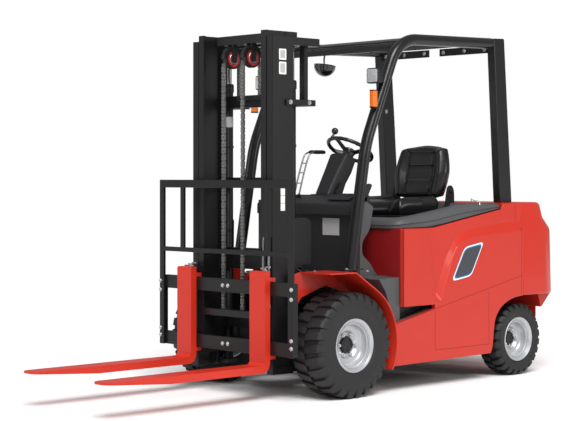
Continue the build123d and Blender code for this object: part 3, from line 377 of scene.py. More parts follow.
# Battery bay and hood.
# The hood is a grey moulded cover with a rounded nose, a grooved rim and a flat black deck for the seat.
# Below its front edge a dark red sheet closes the bay; the battery is one steel case on the frame's pan.
grey = finish_of("grey_plastic", (0.072, 0.073, 0.076), 0.5, grain=0.3, grain_size=900, gloss=0.35)
black_plastic = finish_of("black_plastic", (0.010, 0.010, 0.011), 0.42, grain=0.2, grain_size=900, gloss=0.3)
bay_red = finish_of("bay_red", (0.24, 0.007, 0.009), 0.45, grain=0.05, grain_size=700)
dark = finish_of("dark_paint", (0.009, 0.009, 0.010), 0.5, grain=0.1, grain_size=500, gloss=0.3)
painted(bay_red, "battery_front")
painted(dark, "battery")
HOOD_HALF_W = 556
HOOD_FRONT_Y, HOOD_REAR_Y = 412, 1330
HOOD_NOSE = 96
HOOD_WELL = 100
DECK_Z = 960
DECK_HALF_W = 460
RIM_LOW = [(400, 916), (700, 920), (1318, 1018), (1340, 1020)]
RIM_TOP = [(400, 952), (430, 966), (480, 977), (560, 986), (654, 998), (815, 1020), (980, 1046), (1300, 1053),
           (1340, 1046)]


def height_on(line, y):
    """Height of a broken line of (y, z) points at a place along the truck."""
    for (y0, z0), (y1, z1) in zip(line, line[1:]):
        if y <= y1:
            return z0 + (z1 - z0) * (y - y0) / (y1 - y0)
    return line[-1][1]


hood_plan = rounded([(HOOD_HALF_W, HOOD_FRONT_Y), (HOOD_HALF_W, HOOD_REAR_Y), (-HOOD_HALF_W, HOOD_REAR_Y),
                     (-HOOD_HALF_W, HOOD_FRONT_Y)], [HOOD_NOSE, 8, 8, HOOD_NOSE], 8)
fine_plan = []
for a, b in zip(hood_plan, [*hood_plan[1:], hood_plan[0]]):
    pieces = max(1, round((Vector(b) - Vector(a)).length / 60))
    fine_plan += [tuple(Vector(a).lerp(Vector(b), k / pieces)) for k in range(pieces)]


def hood_ring(inset, share, lift):
    """The hood's plan moved in, at a share of the rim's height plus a lift, or at a lift from the deck."""
    ring = []
    middle_y = (HOOD_FRONT_Y + HOOD_REAR_Y) / 2
    length = HOOD_REAR_Y - HOOD_FRONT_Y
    for x, y in fine_plan:
        y = middle_y + (y - middle_y) * (length - 2 * inset) / length
        low, top = height_on(RIM_LOW, y), height_on(RIM_TOP, y)
        z = DECK_Z + lift if share is None else low + (top - low) * share + lift
        ring.append(place(x * (HOOD_HALF_W - inset) / HOOD_HALF_W, y, z))
    return ring


work = bmesh.new()
add_loft(work, [hood_ring(*row) for row in (
    (6, 0, 0), (0, 0, 5), (0, 0.30, 0), (5, 0.36, 0), (5, 0.42, 0), (0, 0.48, 0), (3, 1, -16), (10, 1, -6),
    (24, 1, 0), (HOOD_WELL - 18, 1, 0), (HOOD_WELL - 8, 1, -5), (HOOD_WELL, 1, -20),
    (HOOD_WELL + 4, None, -6), (HOOD_WELL + 4, None, -24), (30, 0, -0.5))], closed=True)
hood_rim = finished("hood_rim", work, grey, "chassis", sharp=50)
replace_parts(hood_rim, "hood")

work = bmesh.new()
deck = rounded([(DECK_HALF_W, 516), (DECK_HALF_W, 1236), (-DECK_HALF_W, 1236), (-DECK_HALF_W, 516)], 40)
add_loft(work, [[place(x, y, z) for x, y in deck] for z in (DECK_Z - 18, DECK_Z)])
for x in (-300, -180, 180, 300):
    add_block(work, x - 9, x + 9, 560, 760, DECK_Z - 1, DECK_Z + 5)
finished("hood_deck", work, black_plastic, "chassis", edge=0.002)

work = bmesh.new()
for x in (-330, 330):
    foot = rounded([(x - 14, 904), (x + 14, 904), (x + 14, 920), (x - 14, 920)], 4)
    add_loft(work, [[place(px, y, pz) for px, pz in foot] for y in (418, 440)])
finished("hood_feet", work, black_plastic, "chassis", edge=0.001)

# Hood latch.
# A bright steel lever on the hood's rim, turned by hand to free it: a pivot post with a bent arm.
LATCH_X, LATCH_Y, LATCH_Z = 532, 1158, 1044


def round_way(steps):
    """Cosines and sines of evenly spaced angles."""
    return [(math.cos(2 * math.pi * k / steps), math.sin(2 * math.pi * k / steps)) for k in range(steps)]


def add_turned(work, start, direction, profile, steps=24):
    """Turns a profile of (distance along, radius) pairs in millimetres about a line, closed at its ends."""
    direction = Vector(direction).normalized()
    side = direction.orthogonal().normalized()
    other = direction.cross(side)
    rows = []
    for along, radius in profile:
        centre = Vector(start) + direction * along / 1000
        way = round_way(steps) if radius else [(0, 0)]
        rows.append([work.verts.new(centre + (side * c + other * s) * radius / 1000) for c, s in way])
    skin(work, rows)
    for row in (rows[0], rows[-1]):
        if len(row) > 1:
            work.faces.new(row)


def add_tube(work, points, radius, steps=14):
    """A round bar along points in millimetres, with closed ends; radius may be a list, one for each point."""
    points = [place(*point) for point in points]
    ahead = (points[1] - points[0]).normalized()
    side = ahead.orthogonal().normalized()
    rings = []
    for i, point in enumerate(points):
        before = (point - points[i - 1]).normalized() if i else ahead
        after = (points[i + 1] - point).normalized() if i + 1 < len(points) else before
        turn = (before + after).normalized()
        side = (side - turn * side.dot(turn)).normalized()
        other = turn.cross(side)
        r = (radius[i] if isinstance(radius, (list, tuple)) else radius) / 1000
        rings.append([point + (side * c + other * s) * r for c, s in round_way(steps)])
    add_loft(work, rings)


bright = finish_of("bright_steel", (0.72, 0.72, 0.73), 0.16, metallic=1.0, mottle=0.02)
work = bmesh.new()
latch_post = [(0, 0), (0, 11), (7, 11), (9, 6), (20, 6), (20, 0)]
add_turned(work, place(LATCH_X, LATCH_Y, LATCH_Z), (0, 0, 1), latch_post, 16)
add_tube(work, [(LATCH_X, LATCH_Y, LATCH_Z + 20), (528, 1140, 1068), (520, 1100, 1074)], 4)
add_turned(work, place(520, 1104, 1066), (0, -0.1, 1), [(0, 0), (0, 7), (18, 7), (18, 0)], 12)
finished("hood_latch", work, bright, "chassis", edge=0.0008)

# Seat.
# A black vinyl bucket seat: a thick cushion with raised sides and a tall back with stitched centre pads.
# Both are foam over a steel pan, with a hinge plate at each side and slides on the hood's deck.
vinyl = finish_of("seat_vinyl", (0.007, 0.007, 0.008), 0.30, grain=0.25, grain_size=600, coat=0.1, gloss=0.4)
SEAT_Z = DECK_Z + 22
SEAT_HALF_W = 240
BACK_LOW, BACK_TALL, BACK_HALF_W, BACK_LEAN = 1068, 345, 212, 0.145


def grid_pad(work, columns, rows, front_of, back_of):
    """A closed pad: a front surface over a grid of places from -1 to 1, its back, and a skin round them."""
    front, back = [[[work.verts.new(surface(2 * c / columns - 1, 2 * r / rows - 1))
                     for c in range(columns + 1)] for r in range(rows + 1)]
                   for surface in (front_of, back_of)]
    for sheet in (front, back):
        for r in range(rows):
            for c in range(columns):
                work.faces.new((sheet[r][c], sheet[r][c + 1], sheet[r + 1][c + 1], sheet[r + 1][c]))
    rim = ([(0, c) for c in range(columns)] + [(r, columns) for r in range(rows)]
           + [(rows, c) for c in range(columns, 0, -1)] + [(r, 0) for r in range(rows, 0, -1)])
    for (r0, c0), (r1, c1) in zip(rim, [*rim[1:], rim[0]]):
        work.faces.new((front[r0][c0], front[r1][c1], back[r1][c1], back[r0][c0]))


def bump_at(value, centre, width):
    return math.exp(-((value - centre) / width) ** 2)


def bolster(u, start, width):
    """Smooth rise from the pad's middle, at 0, to its raised side, at 1."""
    share = min(1.0, max(0.0, (abs(u) - start) / width))
    return share * share * (3 - 2 * share)


def rounded_square(u, v, power=0.5):
    """Draws a square grid's corners in, so that the pad is rounded in plan."""
    pull = 1 - 0.13 * (u * u * v * v) ** power
    return u * pull, v * pull


def cushion_top(u, v):
    pu, pv = rounded_square(u, v)
    height = 92 + 26 * bolster(u, 0.58, 0.22) * (0.55 + 0.45 * (v + 1) / 2)
    height -= 12 * bump_at(abs(u), 0.60, 0.035)
    for seam in (-0.30, 0.28):
        height -= 9 * bump_at(v, seam, 0.045) * (abs(u) < 0.58)
    height -= 46 * max(0.0, (max(abs(u), abs(v)) - 0.80) / 0.20) ** 2.2
    height -= 22 * max(0.0, (-v - 0.45) / 0.55) ** 2
    return place(SEAT_HALF_W * pu, 985 + 205 * pv, SEAT_Z + height)


def cushion_base(u, v):
    pu, pv = rounded_square(u, v)
    return place((SEAT_HALF_W - 14) * pu, 985 + 190 * pv, SEAT_Z + 1)


def back_narrow(v):
    """The back's share of its full width at a height; it draws in towards its top and foot."""
    return 1 - 0.05 * max(0.0, v) ** 2 - 0.03 * max(0.0, -v) ** 2


def back_front(u, v):
    pu, pv = rounded_square(u, v, 0.7)
    rise = BACK_TALL * (pv + 1) / 2
    side = min(1.0, max(0.0, (abs(u) - 0.54) / 0.24))
    forward = 34 * bolster(u, 0.54, 0.24) * (1 - 0.45 * max(0.0, v))
    forward += 16 * bump_at(v, -0.55, 0.35) * (1 - side)
    forward -= 13 * bump_at(abs(u), 0.52, 0.03) * (abs(v) < 0.80)
    for seam in (-0.30, 0.22, 0.72):
        forward -= 10 * bump_at(v, seam, 0.030) * (abs(u) < 0.52)
    forward -= 48 * max(0.0, (max(abs(u), abs(v)) - 0.80) / 0.20) ** 2
    return place(BACK_HALF_W * pu * back_narrow(v), 1196 + rise * BACK_LEAN - forward, BACK_LOW + rise)


def back_rear(u, v):
    pu, pv = rounded_square(u, v, 0.7)
    rise = 6 + (BACK_TALL - 12) * (pv + 1) / 2
    bulge = 26 * (1 - u * u) * (1 - v * v)
    return place((BACK_HALF_W - 8) * pu * back_narrow(v), 1246 + rise * BACK_LEAN + bulge, BACK_LOW + rise)


for name, rows, top, base, node, fill in (
        ("seat_cushion_pad", 40, cushion_top, cushion_base, "seat_cushion", 0.75),
        ("seat_back_pad", 44, back_front, back_rear, "seat_back", 0.8)):
    work = bmesh.new()
    grid_pad(work, 44, rows, top, base)
    pad = finished(name, work, vinyl, "chassis", sharp=70)
    smooth = pad.modifiers.new("soft", "SUBSURF")
    smooth.levels = 1
    smooth.render_levels = 1
    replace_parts(pad, node)

work = bmesh.new()
add_block(work, -215, 215, 800, 1190, DECK_Z, SEAT_Z + 1)
bracket = rounded([(1178, DECK_Z), (1282, DECK_Z), (1280, 1120), (1268, 1152), (1246, 1164), (1226, 1152),
                   (1214, 1116), (1204, 1040)], 18, 3)
hinge = [(0, 0), (0, 15), (4, 15), (6, 12), (6, 0)]
for side in (-1, 1):
    add_plate(work, bracket, side * 217, side * 231)
    add_turned(work, place(side * 231, 1248, 1128), (side, 0, 0), hinge, 18)
    add_block(work, side * 190, side * 236, 1180, 1250, DECK_Z, DECK_Z + 14)
seat_base = finished("seat_base", work, dark, "chassis", edge=0.002)
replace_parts(seat_base, "seat_frame")

# Footwell and steps.
# A grey moulded floor with kick plates down to the steps, whose treads have raised ribs against slipping.
# The dash's cheeks stand at each side; all are screwed to the frame.
STEP_IN_X, STEP_OUT_X = 384, 558
TREAD_IN_X = 494
TREAD_RISE = 21
work = bmesh.new()
add_block(work, -470, 470, 236, 420, 640, 648)
kick = [(421, 644), (421, 384), (361, 376), (361, 400), (310, 560), (250, 640)]
kick = rounded(kick, [2, 2, 2, 20, 30, 8], 4)
tread = [(361, 372), (686, 440), (686, 452), (361, 384)]
cheek = [(236, 640), (408, 640), (367, 660), (327, 715), (252, 775), (256, 849), (317, 911), (338, 1010),
         (348, 1042), (291, 1072), (236, 1076)]
cheek = rounded(cheek, [0, 6, 26, 26, 26, 26, 30, 30, 10, 10, 0], 4)
for side in (-1, 1):
    add_plate(work, kick, side * STEP_IN_X, side * STEP_OUT_X)
    add_plate(work, [(361, 372), (436, 388), (436, 400), (361, 384)], side * STEP_IN_X, side * STEP_OUT_X)
    add_loft(work, [[place(side * x, y, z + rise) for y, z in tread]
                    for x, rise in ((TREAD_IN_X, TREAD_RISE), (STEP_OUT_X, 0))])
    add_plate(work, [(436, 392), (690, 446), (690, 488), (436, 488)], side * 486, side * 493)
    add_plate(work, cheek, side * 398.3, side * 424)
footwell = finished("footwell_moulding", work, grey, "chassis", edge=0.003)
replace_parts(footwell, "footwell")


def new_tree(name, *inputs):
    """A node tree with named inputs, each a label, a kind and a value; its entry and identifiers too."""
    tree = bpy.data.node_groups.new(name, "GeometryNodeTree")
    tree.interface.new_socket("Geometry", in_out="INPUT", socket_type="NodeSocketGeometry")
    sockets = {}
    for label, kind, value in (*inputs, ("Finish", "Material", None)):
        socket = tree.interface.new_socket(label, in_out="INPUT", socket_type="NodeSocket" + kind)
        sockets[label] = socket.identifier
        if value is not None:
            socket.default_value = value
    tree.interface.new_socket("Geometry", in_out="OUTPUT", socket_type="NodeSocketGeometry")
    return tree, tree.nodes.new("NodeGroupInput"), sockets


def row_of_points(tree):
    """A node that makes a row of points, each moved on from the last by the same step."""
    line = tree.nodes.new("GeometryNodeMeshLine")
    line.mode = "OFFSET"
    return line


def end_tree(tree, entry, spread):
    """Makes a tree's copies real, gives them their finish and ends the tree."""
    real = tree.nodes.new("GeometryNodeRealizeInstances")
    coat = tree.nodes.new("GeometryNodeSetMaterial")
    joined(tree, (spread, "Instances", real, "Geometry"), (real, "Geometry", coat, "Geometry"),
           (entry, "Finish", coat, "Material"),
           (coat, "Geometry", tree.nodes.new("NodeGroupOutput"), "Geometry"))


def grown(name, tree, sockets, values, body, points=None):
    """Runs a node tree with the given inputs and keeps the result as a plain mesh on a body."""
    holder = linked(name + "_seed", points or bpy.data.meshes.new(name + "_seed"))
    modifier = holder.modifiers.new("grow", "NODES")
    modifier.node_group = tree
    for label, value in values.items():
        modifier[sockets[label]] = value
    bpy.context.view_layer.update()
    graph = bpy.context.evaluated_depsgraph_get()
    mesh = bpy.data.meshes.new_from_object(holder.evaluated_get(graph), depsgraph=graph)
    bpy.data.objects.remove(holder)
    mesh.name = name
    piece = linked(name, mesh)
    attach(piece, body)
    return piece


rib_tree, entry, rib_sockets = new_tree(
    "step_ribs", ("Count", "Int", 9), ("Pitch", "Vector", (0, 0, 0)), ("Start", "Vector", (0, 0, 0)),
    ("Length", "Float", 0.06), ("Thickness", "Float", 0.006))
line = row_of_points(rib_tree)
rib_size = rib_tree.nodes.new("ShaderNodeCombineXYZ")
rib = rib_tree.nodes.new("GeometryNodeMeshCube")
spread = rib_tree.nodes.new("GeometryNodeInstanceOnPoints")
joined(rib_tree, (entry, "Count", line, "Count"), (entry, "Start", line, "Start Location"),
       (entry, "Pitch", line, "Offset"), (entry, "Length", rib_size, "X"),
       (entry, "Thickness", rib_size, "Y"), (entry, "Thickness", rib_size, "Z"),
       (rib_size, "Vector", rib, "Size"),
       (line, "Mesh", spread, "Points"), (rib, "Mesh", spread, "Instance"))
end_tree(rib_tree, entry, spread)
for side, word in ((1, "left"), (-1, "right")):
    grown(f"step_ribs_{word}", rib_tree, rib_sockets,
          {"Count": 14, "Start": tuple(place(side * 525, 385, 399)), "Pitch": (0, 0.0213, 0.00445),
           "Length": 0.062, "Thickness": 0.007, "Finish": black_plastic}, "chassis")

# Dash, steering tower and wheel.
# The dash is a dark grey moulding across the footwell; the tower stands on it, leaning back with the column.
# The wheel has a thick rubber-like rim on three spokes, a hub and a spinner knob.
dash_grey = finish_of("dash_grey", (0.016, 0.0165, 0.018), 0.5, grain=0.3, grain_size=900, gloss=0.3)
work = bmesh.new()
top_shell = rounded([(200, 995), (335, 995), (346, 1042), (346, 1112), (200, 1058)], [4, 4, 6, 14, 14], 4)
add_plate(work, top_shell, -398, 398)
add_block(work, -365, 365, 236, 252, 648.3, 1000)
foot = rounded([(330, 1040), (450, 1072), (490, 1096), (490, 1113), (330, 1112)], [0, 10, 10, 6, 4], 4)
add_plate(work, foot, -74, 74)
for x0, x1 in ((160, 330), (-330, -210)):
    add_plate(work, [(238, 1078), (330, 1112), (330, 1118), (290, 1112), (238, 1088)], x0, x1)
dash = finished("dash_moulding", work, dash_grey, "chassis", edge=0.004)
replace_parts(dash, "cowl")

work = bmesh.new()
handle = [(272, 1060), (286, 1100), (342, 1178), (370, 1168), (326, 1090), (320, 1060)]
add_plate(work, rounded(handle, [0, 20, 12, 12, 20, 0], 4), 376, 398)
mirrored(work)
finished("dash_handles", work, dash_grey, "chassis", edge=0.006, segments=3)

label_grey = finish_of("label_grey", (0.42, 0.42, 0.42), 0.45)
work = bmesh.new()
add_block(work, 126, 260, 233.6, 236, 878, 976)
finished("dash_plate_blank", work, label_grey, "chassis", edge=0.0008)

TOWER_POINTS = 28
TOWER_SQUARE = 0.35
work = bmesh.new()
rings = []
for (front_y, front_z), (rear_y, rear_z), half in (
        ((345, 1113), (486, 1113), 60), ((372, 1160), (512, 1172), 61), ((426, 1250), (556, 1236), 66),
        ((470, 1322), (574, 1284), 72), ((486, 1347), (584, 1310), 75), ((500, 1354), (570, 1322), 70)):
    ring = []
    for k in range(TOWER_POINTS):
        angle = 2 * math.pi * (k + 0.5) / TOWER_POINTS
        c, s = math.cos(angle), math.sin(angle)
        x = half * math.copysign(abs(c) ** TOWER_SQUARE, c)
        t = 0.5 + 0.5 * math.copysign(abs(s) ** TOWER_SQUARE, s)
        y, z = front_y + (rear_y - front_y) * t, front_z + (rear_z - front_z) * t
        ring.append(place(x * (1 - 0.10 * t), y, z))
    rings.append(ring)
add_loft(work, rings)
tower = finished("tower_cover", work, dash_grey, "chassis", edge=0.002, sharp=40)
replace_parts(tower, "column_cover")

COLUMN_LEAN = math.radians(30)
HUB_Y, HUB_Z = 592, 1375
RIM_R = 138
RIM_HALF = 12
RIM_STEPS, RIM_SIDES = 60, 14
work = bmesh.new()
collar = [(0, HUB_Y - d * math.sin(COLUMN_LEAN), HUB_Z - d * math.cos(COLUMN_LEAN)) for d in (43, 70, 110)]
add_tube(work, collar, [27, 31, 31], 24)
finished("column_collar", work, black_plastic, "chassis", edge=0.001)
work = bmesh.new()
for k in range(5):
    y, z = 523 + 9 * k, 1196 + 13 * k
    add_tube(work, [(-34, y, z), (34, y, z)], 2.2, 8)
add_plate(work, rounded([(392, 1118), (432, 1118), (470, 1170), (438, 1178)], 8, 3), 64, 78)
finished("tower_trim", work, black_plastic, "chassis")

wheel_finish = finish_of("wheel_rim", (0.010, 0.010, 0.010), 0.3, grain=0.15, grain_size=700, coat=0.1)
wheel_turn = Matrix.Rotation(-COLUMN_LEAN, 4, "X")
wheel_centre = place(0, HUB_Y, HUB_Z)


def on_wheel(x, y, z):
    """A point in metres, from millimetres in the steering wheel's own plane and along its column."""
    return wheel_centre + wheel_turn @ Vector((x / 1000, y / 1000, z / 1000))


work = bmesh.new()
rings = []
for k in range(RIM_STEPS):
    angle = 2 * math.pi * k / RIM_STEPS
    swell = 11.5 + 1.2 * math.cos(24 * angle)
    ring = [(RIM_R + RIM_HALF * c, swell * s) for c, s in round_way(RIM_SIDES)]
    rings.append([on_wheel(reach * math.cos(angle), reach * math.sin(angle), z) for reach, z in ring])
add_loft(work, rings, closed=True)
for angle in (0, math.pi, -math.pi / 2):
    c, s = math.cos(angle), math.sin(angle)
    spoke = []
    for reach, half, drop in ((20, 20, -20), (60, 17, -14), (105, 14, -5), (136, 17, 0)):
        spoke.append([on_wheel(reach * c - w * s, reach * s + w * c, drop + t)
                      for w, t in ((-half, -4), (half, -4), (half * 0.8, 4), (-half * 0.8, 4))])
    add_loft(work, spoke)
column = wheel_turn @ Vector((0, 0, 1))
add_turned(work, on_wheel(0, 0, -42), column,
           [(0, 0), (0, 30), (12, 34), (30, 40), (40, 38), (46, 26), (47, 0)], 32)
KNOB_X = -40
knob = [(0, 0), (0, 11), (8, 11), (10, 7), (26, 7), (30, 12), (36, 18), (46, 21), (56, 19), (64, 11), (66, 0)]
add_turned(work, on_wheel(KNOB_X, -math.sqrt(RIM_R ** 2 - KNOB_X ** 2), 6), column, knob, 24)
wheel = finished("wheel_and_knob", work, wheel_finish, "steering_wheel", sharp=42)
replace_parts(wheel, "steering_wheel")

# Control levers and pedals.
# Slim chromed levers stand in rubber boots on the dash, tied by short rungs; each ends in a black grip.
# The pedals are ribbed rubber pads on steel arms.
LEVER_FOOT_Z = 1086
PEDAL_LEAN = math.radians(35)
BOOT = [(0, 0), (0, 21), (5, 21), (9, 15), (13, 17), (17, 12), (21, 14), (26, 8), (30, 6), (30, 0)]
work = bmesh.new()
grips = bmesh.new()
for x in (-140, -180):
    lever = [(x, 300, LEVER_FOOT_Z + 10), (x, 318, 1160), (x, 352, 1262), (x, 380, 1330), (x, 398, 1352),
             (x, 430, 1362)]
    add_tube(work, flowing(lever, 5), 5, 12)
    add_tube(grips, [(x, 426, 1362), (x, 440, 1363), (x, 500, 1362), (x, 516, 1361), (x, 520, 1361)],
             [8, 11, 12, 10, 5], 14)
    add_turned(grips, place(x, 299, LEVER_FOOT_Z - 2), (0, 0.1, 1), BOOT, 20)
for y, z in ((322, 1176), (343, 1238), (364, 1295)):
    add_tube(work, [(-183, y, z), (-137, y, z)], 3.2, 8)
lever_rods = finished("lever_rods", work, steel, "chassis")
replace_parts(lever_rods, "levers")
finished("lever_grips", grips, black_plastic, "chassis", sharp=50)

rubber = finish_of("rubber", (0.011, 0.011, 0.0115), 0.6, grain=0.3, grain_size=500, gloss=0.45)
painted(rubber, "pedals")
work = bmesh.new()
for x in (-60, -190):
    for k in range(-3, 4):
        y, z = 316.5 + 14 * k * math.cos(PEDAL_LEAN), 720.5 + 14 * k * math.sin(PEDAL_LEAN)
        add_tube(work, [(x - 30, y, z), (x + 30, y, z)], 2.4, 8)
finished("pedal_ribs", work, rubber, "chassis")

# Overhead guard.
# One bent steel tube each side makes front leg, corner and roof rail; slats and plates are welded between.
# It is painted satin black and bolted at its feet, and carries the lamps on its front legs.
guard_black = finish_of("guard_paint", (0.009, 0.009, 0.010), 0.30, grain=0.05, grain_size=800, coat=0.1,
                        gloss=0.35)
GUARD_X = 467
TUBE_R = 33
KNEE_BEND, CORNER_BEND = 700, 235
INNER_X = GUARD_X - TUBE_R + 4
SLATS, SLAT_PITCH, SLAT_LEAN = 6, 132, math.radians(20)
leg_foot, knee, corner_point, roof_end = (113, 692), (238, 1400), (506, 2006), (1340, 2027)


def bend(before, at, after, radius, steps):
    """Points of a bend of the given radius between two straight runs, in the Y-Z plane."""
    a, b, c = Vector(before), Vector(at), Vector(after)
    u, w = (a - b).normalized(), (c - b).normalized()
    half = u.angle(w) / 2
    reach = radius / math.tan(half)
    middle = b + (u + w).normalized() * radius / math.sin(half)
    start, end = b + u * reach - middle, b + w * reach - middle
    points = [start.lerp(end, k / steps).normalized() * radius + middle for k in range(steps + 1)]
    return [(point.x, point.y) for point in points]


def rail_height(y):
    """Middle of the roof rail at a place along the truck."""
    slope = (roof_end[1] - corner_point[1]) / (roof_end[0] - corner_point[0])
    return corner_point[1] + slope * (y - corner_point[0])


work = bmesh.new()
rail_path = [leg_foot, *bend(leg_foot, knee, corner_point, KNEE_BEND, 10),
             *bend(knee, corner_point, roof_end, CORNER_BEND, 16), roof_end]
add_tube(work, [(GUARD_X, y, z) for y, z in rail_path], TUBE_R, 28)
add_block(work, GUARD_X - 30, GUARD_X + 30, 40, 190, 693, 701, 2)
mirrored(work)
rails = finished("guard_tubes", work, guard_black, "chassis", edge=0.001, sharp=50)
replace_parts(rails, "guard_rails")
painted(guard_black, "guard_rear_legs", edge=0.006)

work = bmesh.new()
add_plate(work, rounded([(478, 1940), (500, 1940), (512, 1976), (490, 1976)], 3, 2), -INNER_X, INNER_X)
c, s = math.cos(SLAT_LEAN), math.sin(SLAT_LEAN)
for index in range(SLATS):
    y = 600 + SLAT_PITCH * index
    z = rail_height(y)
    slat = [(y + u * c - w * s, z + u * s + w * c) for u, w in ((-30, -6), (30, -6), (30, 6), (-30, 6))]
    add_plate(work, rounded(slat, 4, 3), -INNER_X, INNER_X)
for side in (-1, 1):
    add_block(work, side * 46, side * 443, 1352, 1364, 1972, 2018)
roof = finished("roof_slats", work, guard_black, "chassis", edge=0.0015)
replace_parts(roof, "guard_roof")

# Bolt heads.
# Hexagon heads on round washers, zinc bright or painted, placed wherever plates are screwed together.
# One node tree makes them at a mesh's points, each turned to its point's own direction.
bolt_tree, entry, bolt_sockets = new_tree(
    "bolt_heads", ("Head radius", "Float", 0.009), ("Head height", "Float", 0.006),
    ("Washer radius", "Float", 0.013))
head = bolt_tree.nodes.new("GeometryNodeMeshCylinder")
head.inputs["Vertices"].default_value = 6
washer = bolt_tree.nodes.new("GeometryNodeMeshCylinder")
washer.inputs["Vertices"].default_value = 20
washer.inputs["Depth"].default_value = 0.003
half_height = bolt_tree.nodes.new("ShaderNodeMath")
half_height.operation = "MULTIPLY_ADD"
half_height.inputs[1].default_value = 0.5
half_height.inputs[2].default_value = 0.001
rise = bolt_tree.nodes.new("ShaderNodeCombineXYZ")
lifted = bolt_tree.nodes.new("GeometryNodeTransform")
both = bolt_tree.nodes.new("GeometryNodeJoinGeometry")
facing = bolt_tree.nodes.new("GeometryNodeInputNamedAttribute")
facing.data_type = "FLOAT_VECTOR"
facing.inputs["Name"].default_value = "facing"
turn = bolt_tree.nodes.new("FunctionNodeAlignRotationToVector")
turn.axis = "Z"
spread = bolt_tree.nodes.new("GeometryNodeInstanceOnPoints")
joined(bolt_tree, (entry, "Head radius", head, "Radius"), (entry, "Head height", head, "Depth"),
       (entry, "Washer radius", washer, "Radius"), (entry, "Head height", half_height, 0),
       (half_height, 0, rise, "Z"), (rise, "Vector", lifted, "Translation"),
       (head, "Mesh", lifted, "Geometry"), (lifted, "Geometry", both, "Geometry"),
       (washer, "Mesh", both, "Geometry"),
       (entry, "Geometry", spread, "Points"), (both, "Geometry", spread, "Instance"),
       (turn, "Rotation", spread, "Rotation"))
directions = next(out for out in facing.outputs if out.enabled and out.name == "Attribute")
bolt_tree.links.new(directions, turn.inputs["Vector"])
end_tree(bolt_tree, entry, spread)


def bolted(name, spots, body, look, radius=9.0):
    """Bolt heads at (x, y, z, direction) spots given in millimetres."""
    points = bpy.data.meshes.new(name + "_points")
    points.from_pydata([tuple(place(*spot[:3])) for spot in spots], [], [])
    facing = points.attributes.new("facing", "FLOAT_VECTOR", "POINT")
    for item, spot in zip(facing.data, spots):
        item.vector = spot[3]
    radius /= 1000
    values = {"Head radius": radius, "Head height": radius * 0.65, "Washer radius": radius * 1.45,
              "Finish": look}
    return grown(name, bolt_tree, bolt_sockets, values, body, points)


zinc = finish_of("zinc_bolts", (0.55, 0.55, 0.56), 0.25, metallic=0.9, mottle=0.04)
guard_spots = []
for side in (-1, 1):
    guard_spots += [(side * 441, 1385, z, (-side, 0, 0)) for z in (1880, 1640)]
    guard_spots += [(side * x, 1351, 1995, (0, -1, 0)) for x in (80, 250, 410)]
    guard_spots.append((side * (GUARD_X + 18), 62, 700, (0, 0, 1)))
bolted("guard_bolts", guard_spots, "chassis", zinc)

# Lamps on the guard.
# Square work lamps with a black finned case and a clear lens, and amber indicators with ribbed lenses.
# Red tail lamps stand on the rear legs. All are plain generic lamps on small brackets.
glass = finish_of("lamp_lens", (0.62, 0.63, 0.64), 0.12, metallic=0.35, grain=0.8, grain_size=240)
amber = finish_of("lamp_orange", (0.80, 0.16, 0.006), 0.25, grain=0.5, grain_size=300)
tail_red = finish_of("lamp_red", (0.40, 0.008, 0.008), 0.2)
LAMP_Z = 1786
LAMP_HALF_W, LAMP_HALF_H = 46, 44
AMBER_LOW, AMBER_TALL, AMBER_RIBS = 1609, 89, 18
REAR_LEG_LEAN = 0.0727
amber_x, amber_y = GUARD_X + 29, 271
amber_plan = rounded([(-17, -19), (17, -19), (17, 19), (-17, 19)], 7, 4)


def leg_front(z):
    """Front of the guard's leg at a height above its knee."""
    slope = (corner_point[0] - knee[0]) / (corner_point[1] - knee[1])
    return knee[0] + slope * (z - knee[1]) - TUBE_R * math.hypot(1, slope)


def lamp_square(side, y, size, corner):
    """A work lamp's rounded square ring, at a place along the truck and a share of its full size."""
    w, h = LAMP_HALF_W, LAMP_HALF_H
    outline = rounded([(-w, -h), (w, -h), (w, h), (-w, h)], corner)
    return [place(side * GUARD_X + x * size, y, LAMP_Z + z * size) for x, z in outline]


def amber_ring(side, z, size):
    return [place(side * (amber_x + x * size), amber_y + y * size, z) for x, y in amber_plan]


def lamp_arm(work, start, low, tall, reach, x0, x1):
    """A flat arm from a lamp back into the guard's leg."""
    add_plate(work, [(start, low), (leg_front(low) + reach, low), (leg_front(low + tall) + reach, low + tall),
                     (start, low + tall)], x0, x1)


case, lens, orange_lens = bmesh.new(), bmesh.new(), bmesh.new()
case_rings = ((292, 0.97, 14), (296, 1.0, 14), (322, 1.0, 14), (340, 0.86, 14))
lens_rings = ((291.6, 0.84, 12), (289.4, 0.84, 12), (288.2, 0.78, 10))
for side in (-1, 1):
    add_loft(case, [lamp_square(side, *row) for row in case_rings])
    for k in range(4):
        add_loft(case, [lamp_square(side, y + 4 * k, 0.80 - 0.02 * k, 12) for y in (338, 340)])
    add_loft(lens, [lamp_square(side, *row) for row in lens_rings])
    lamp_arm(case, 338, 1765, 20, 8, side * (GUARD_X - 10), side * (GUARD_X + 10))
    for z0, z1 in ((1602, AMBER_LOW), (1698, 1704)):
        add_loft(case, [amber_ring(side, z, 1) for z in (z0, z1)])
    add_loft(orange_lens, [amber_ring(side, AMBER_LOW + AMBER_TALL * k / AMBER_RIBS, 0.9765 if k % 2 else 0.93)
                           for k in range(AMBER_RIBS + 1)])
    lamp_arm(case, 284, 1636, 24, 10, side * (GUARD_X + 4), side * (GUARD_X + 16))
cases = finished("lamp_cases", case, black_plastic, "chassis", edge=0.0012)
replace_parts(cases, "headlamps")
finished("lamp_lenses", lens, glass, "chassis")
ambers = finished("indicator_lenses", orange_lens, amber, "chassis", sharp=20)
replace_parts(ambers, "indicators")
work = bmesh.new()
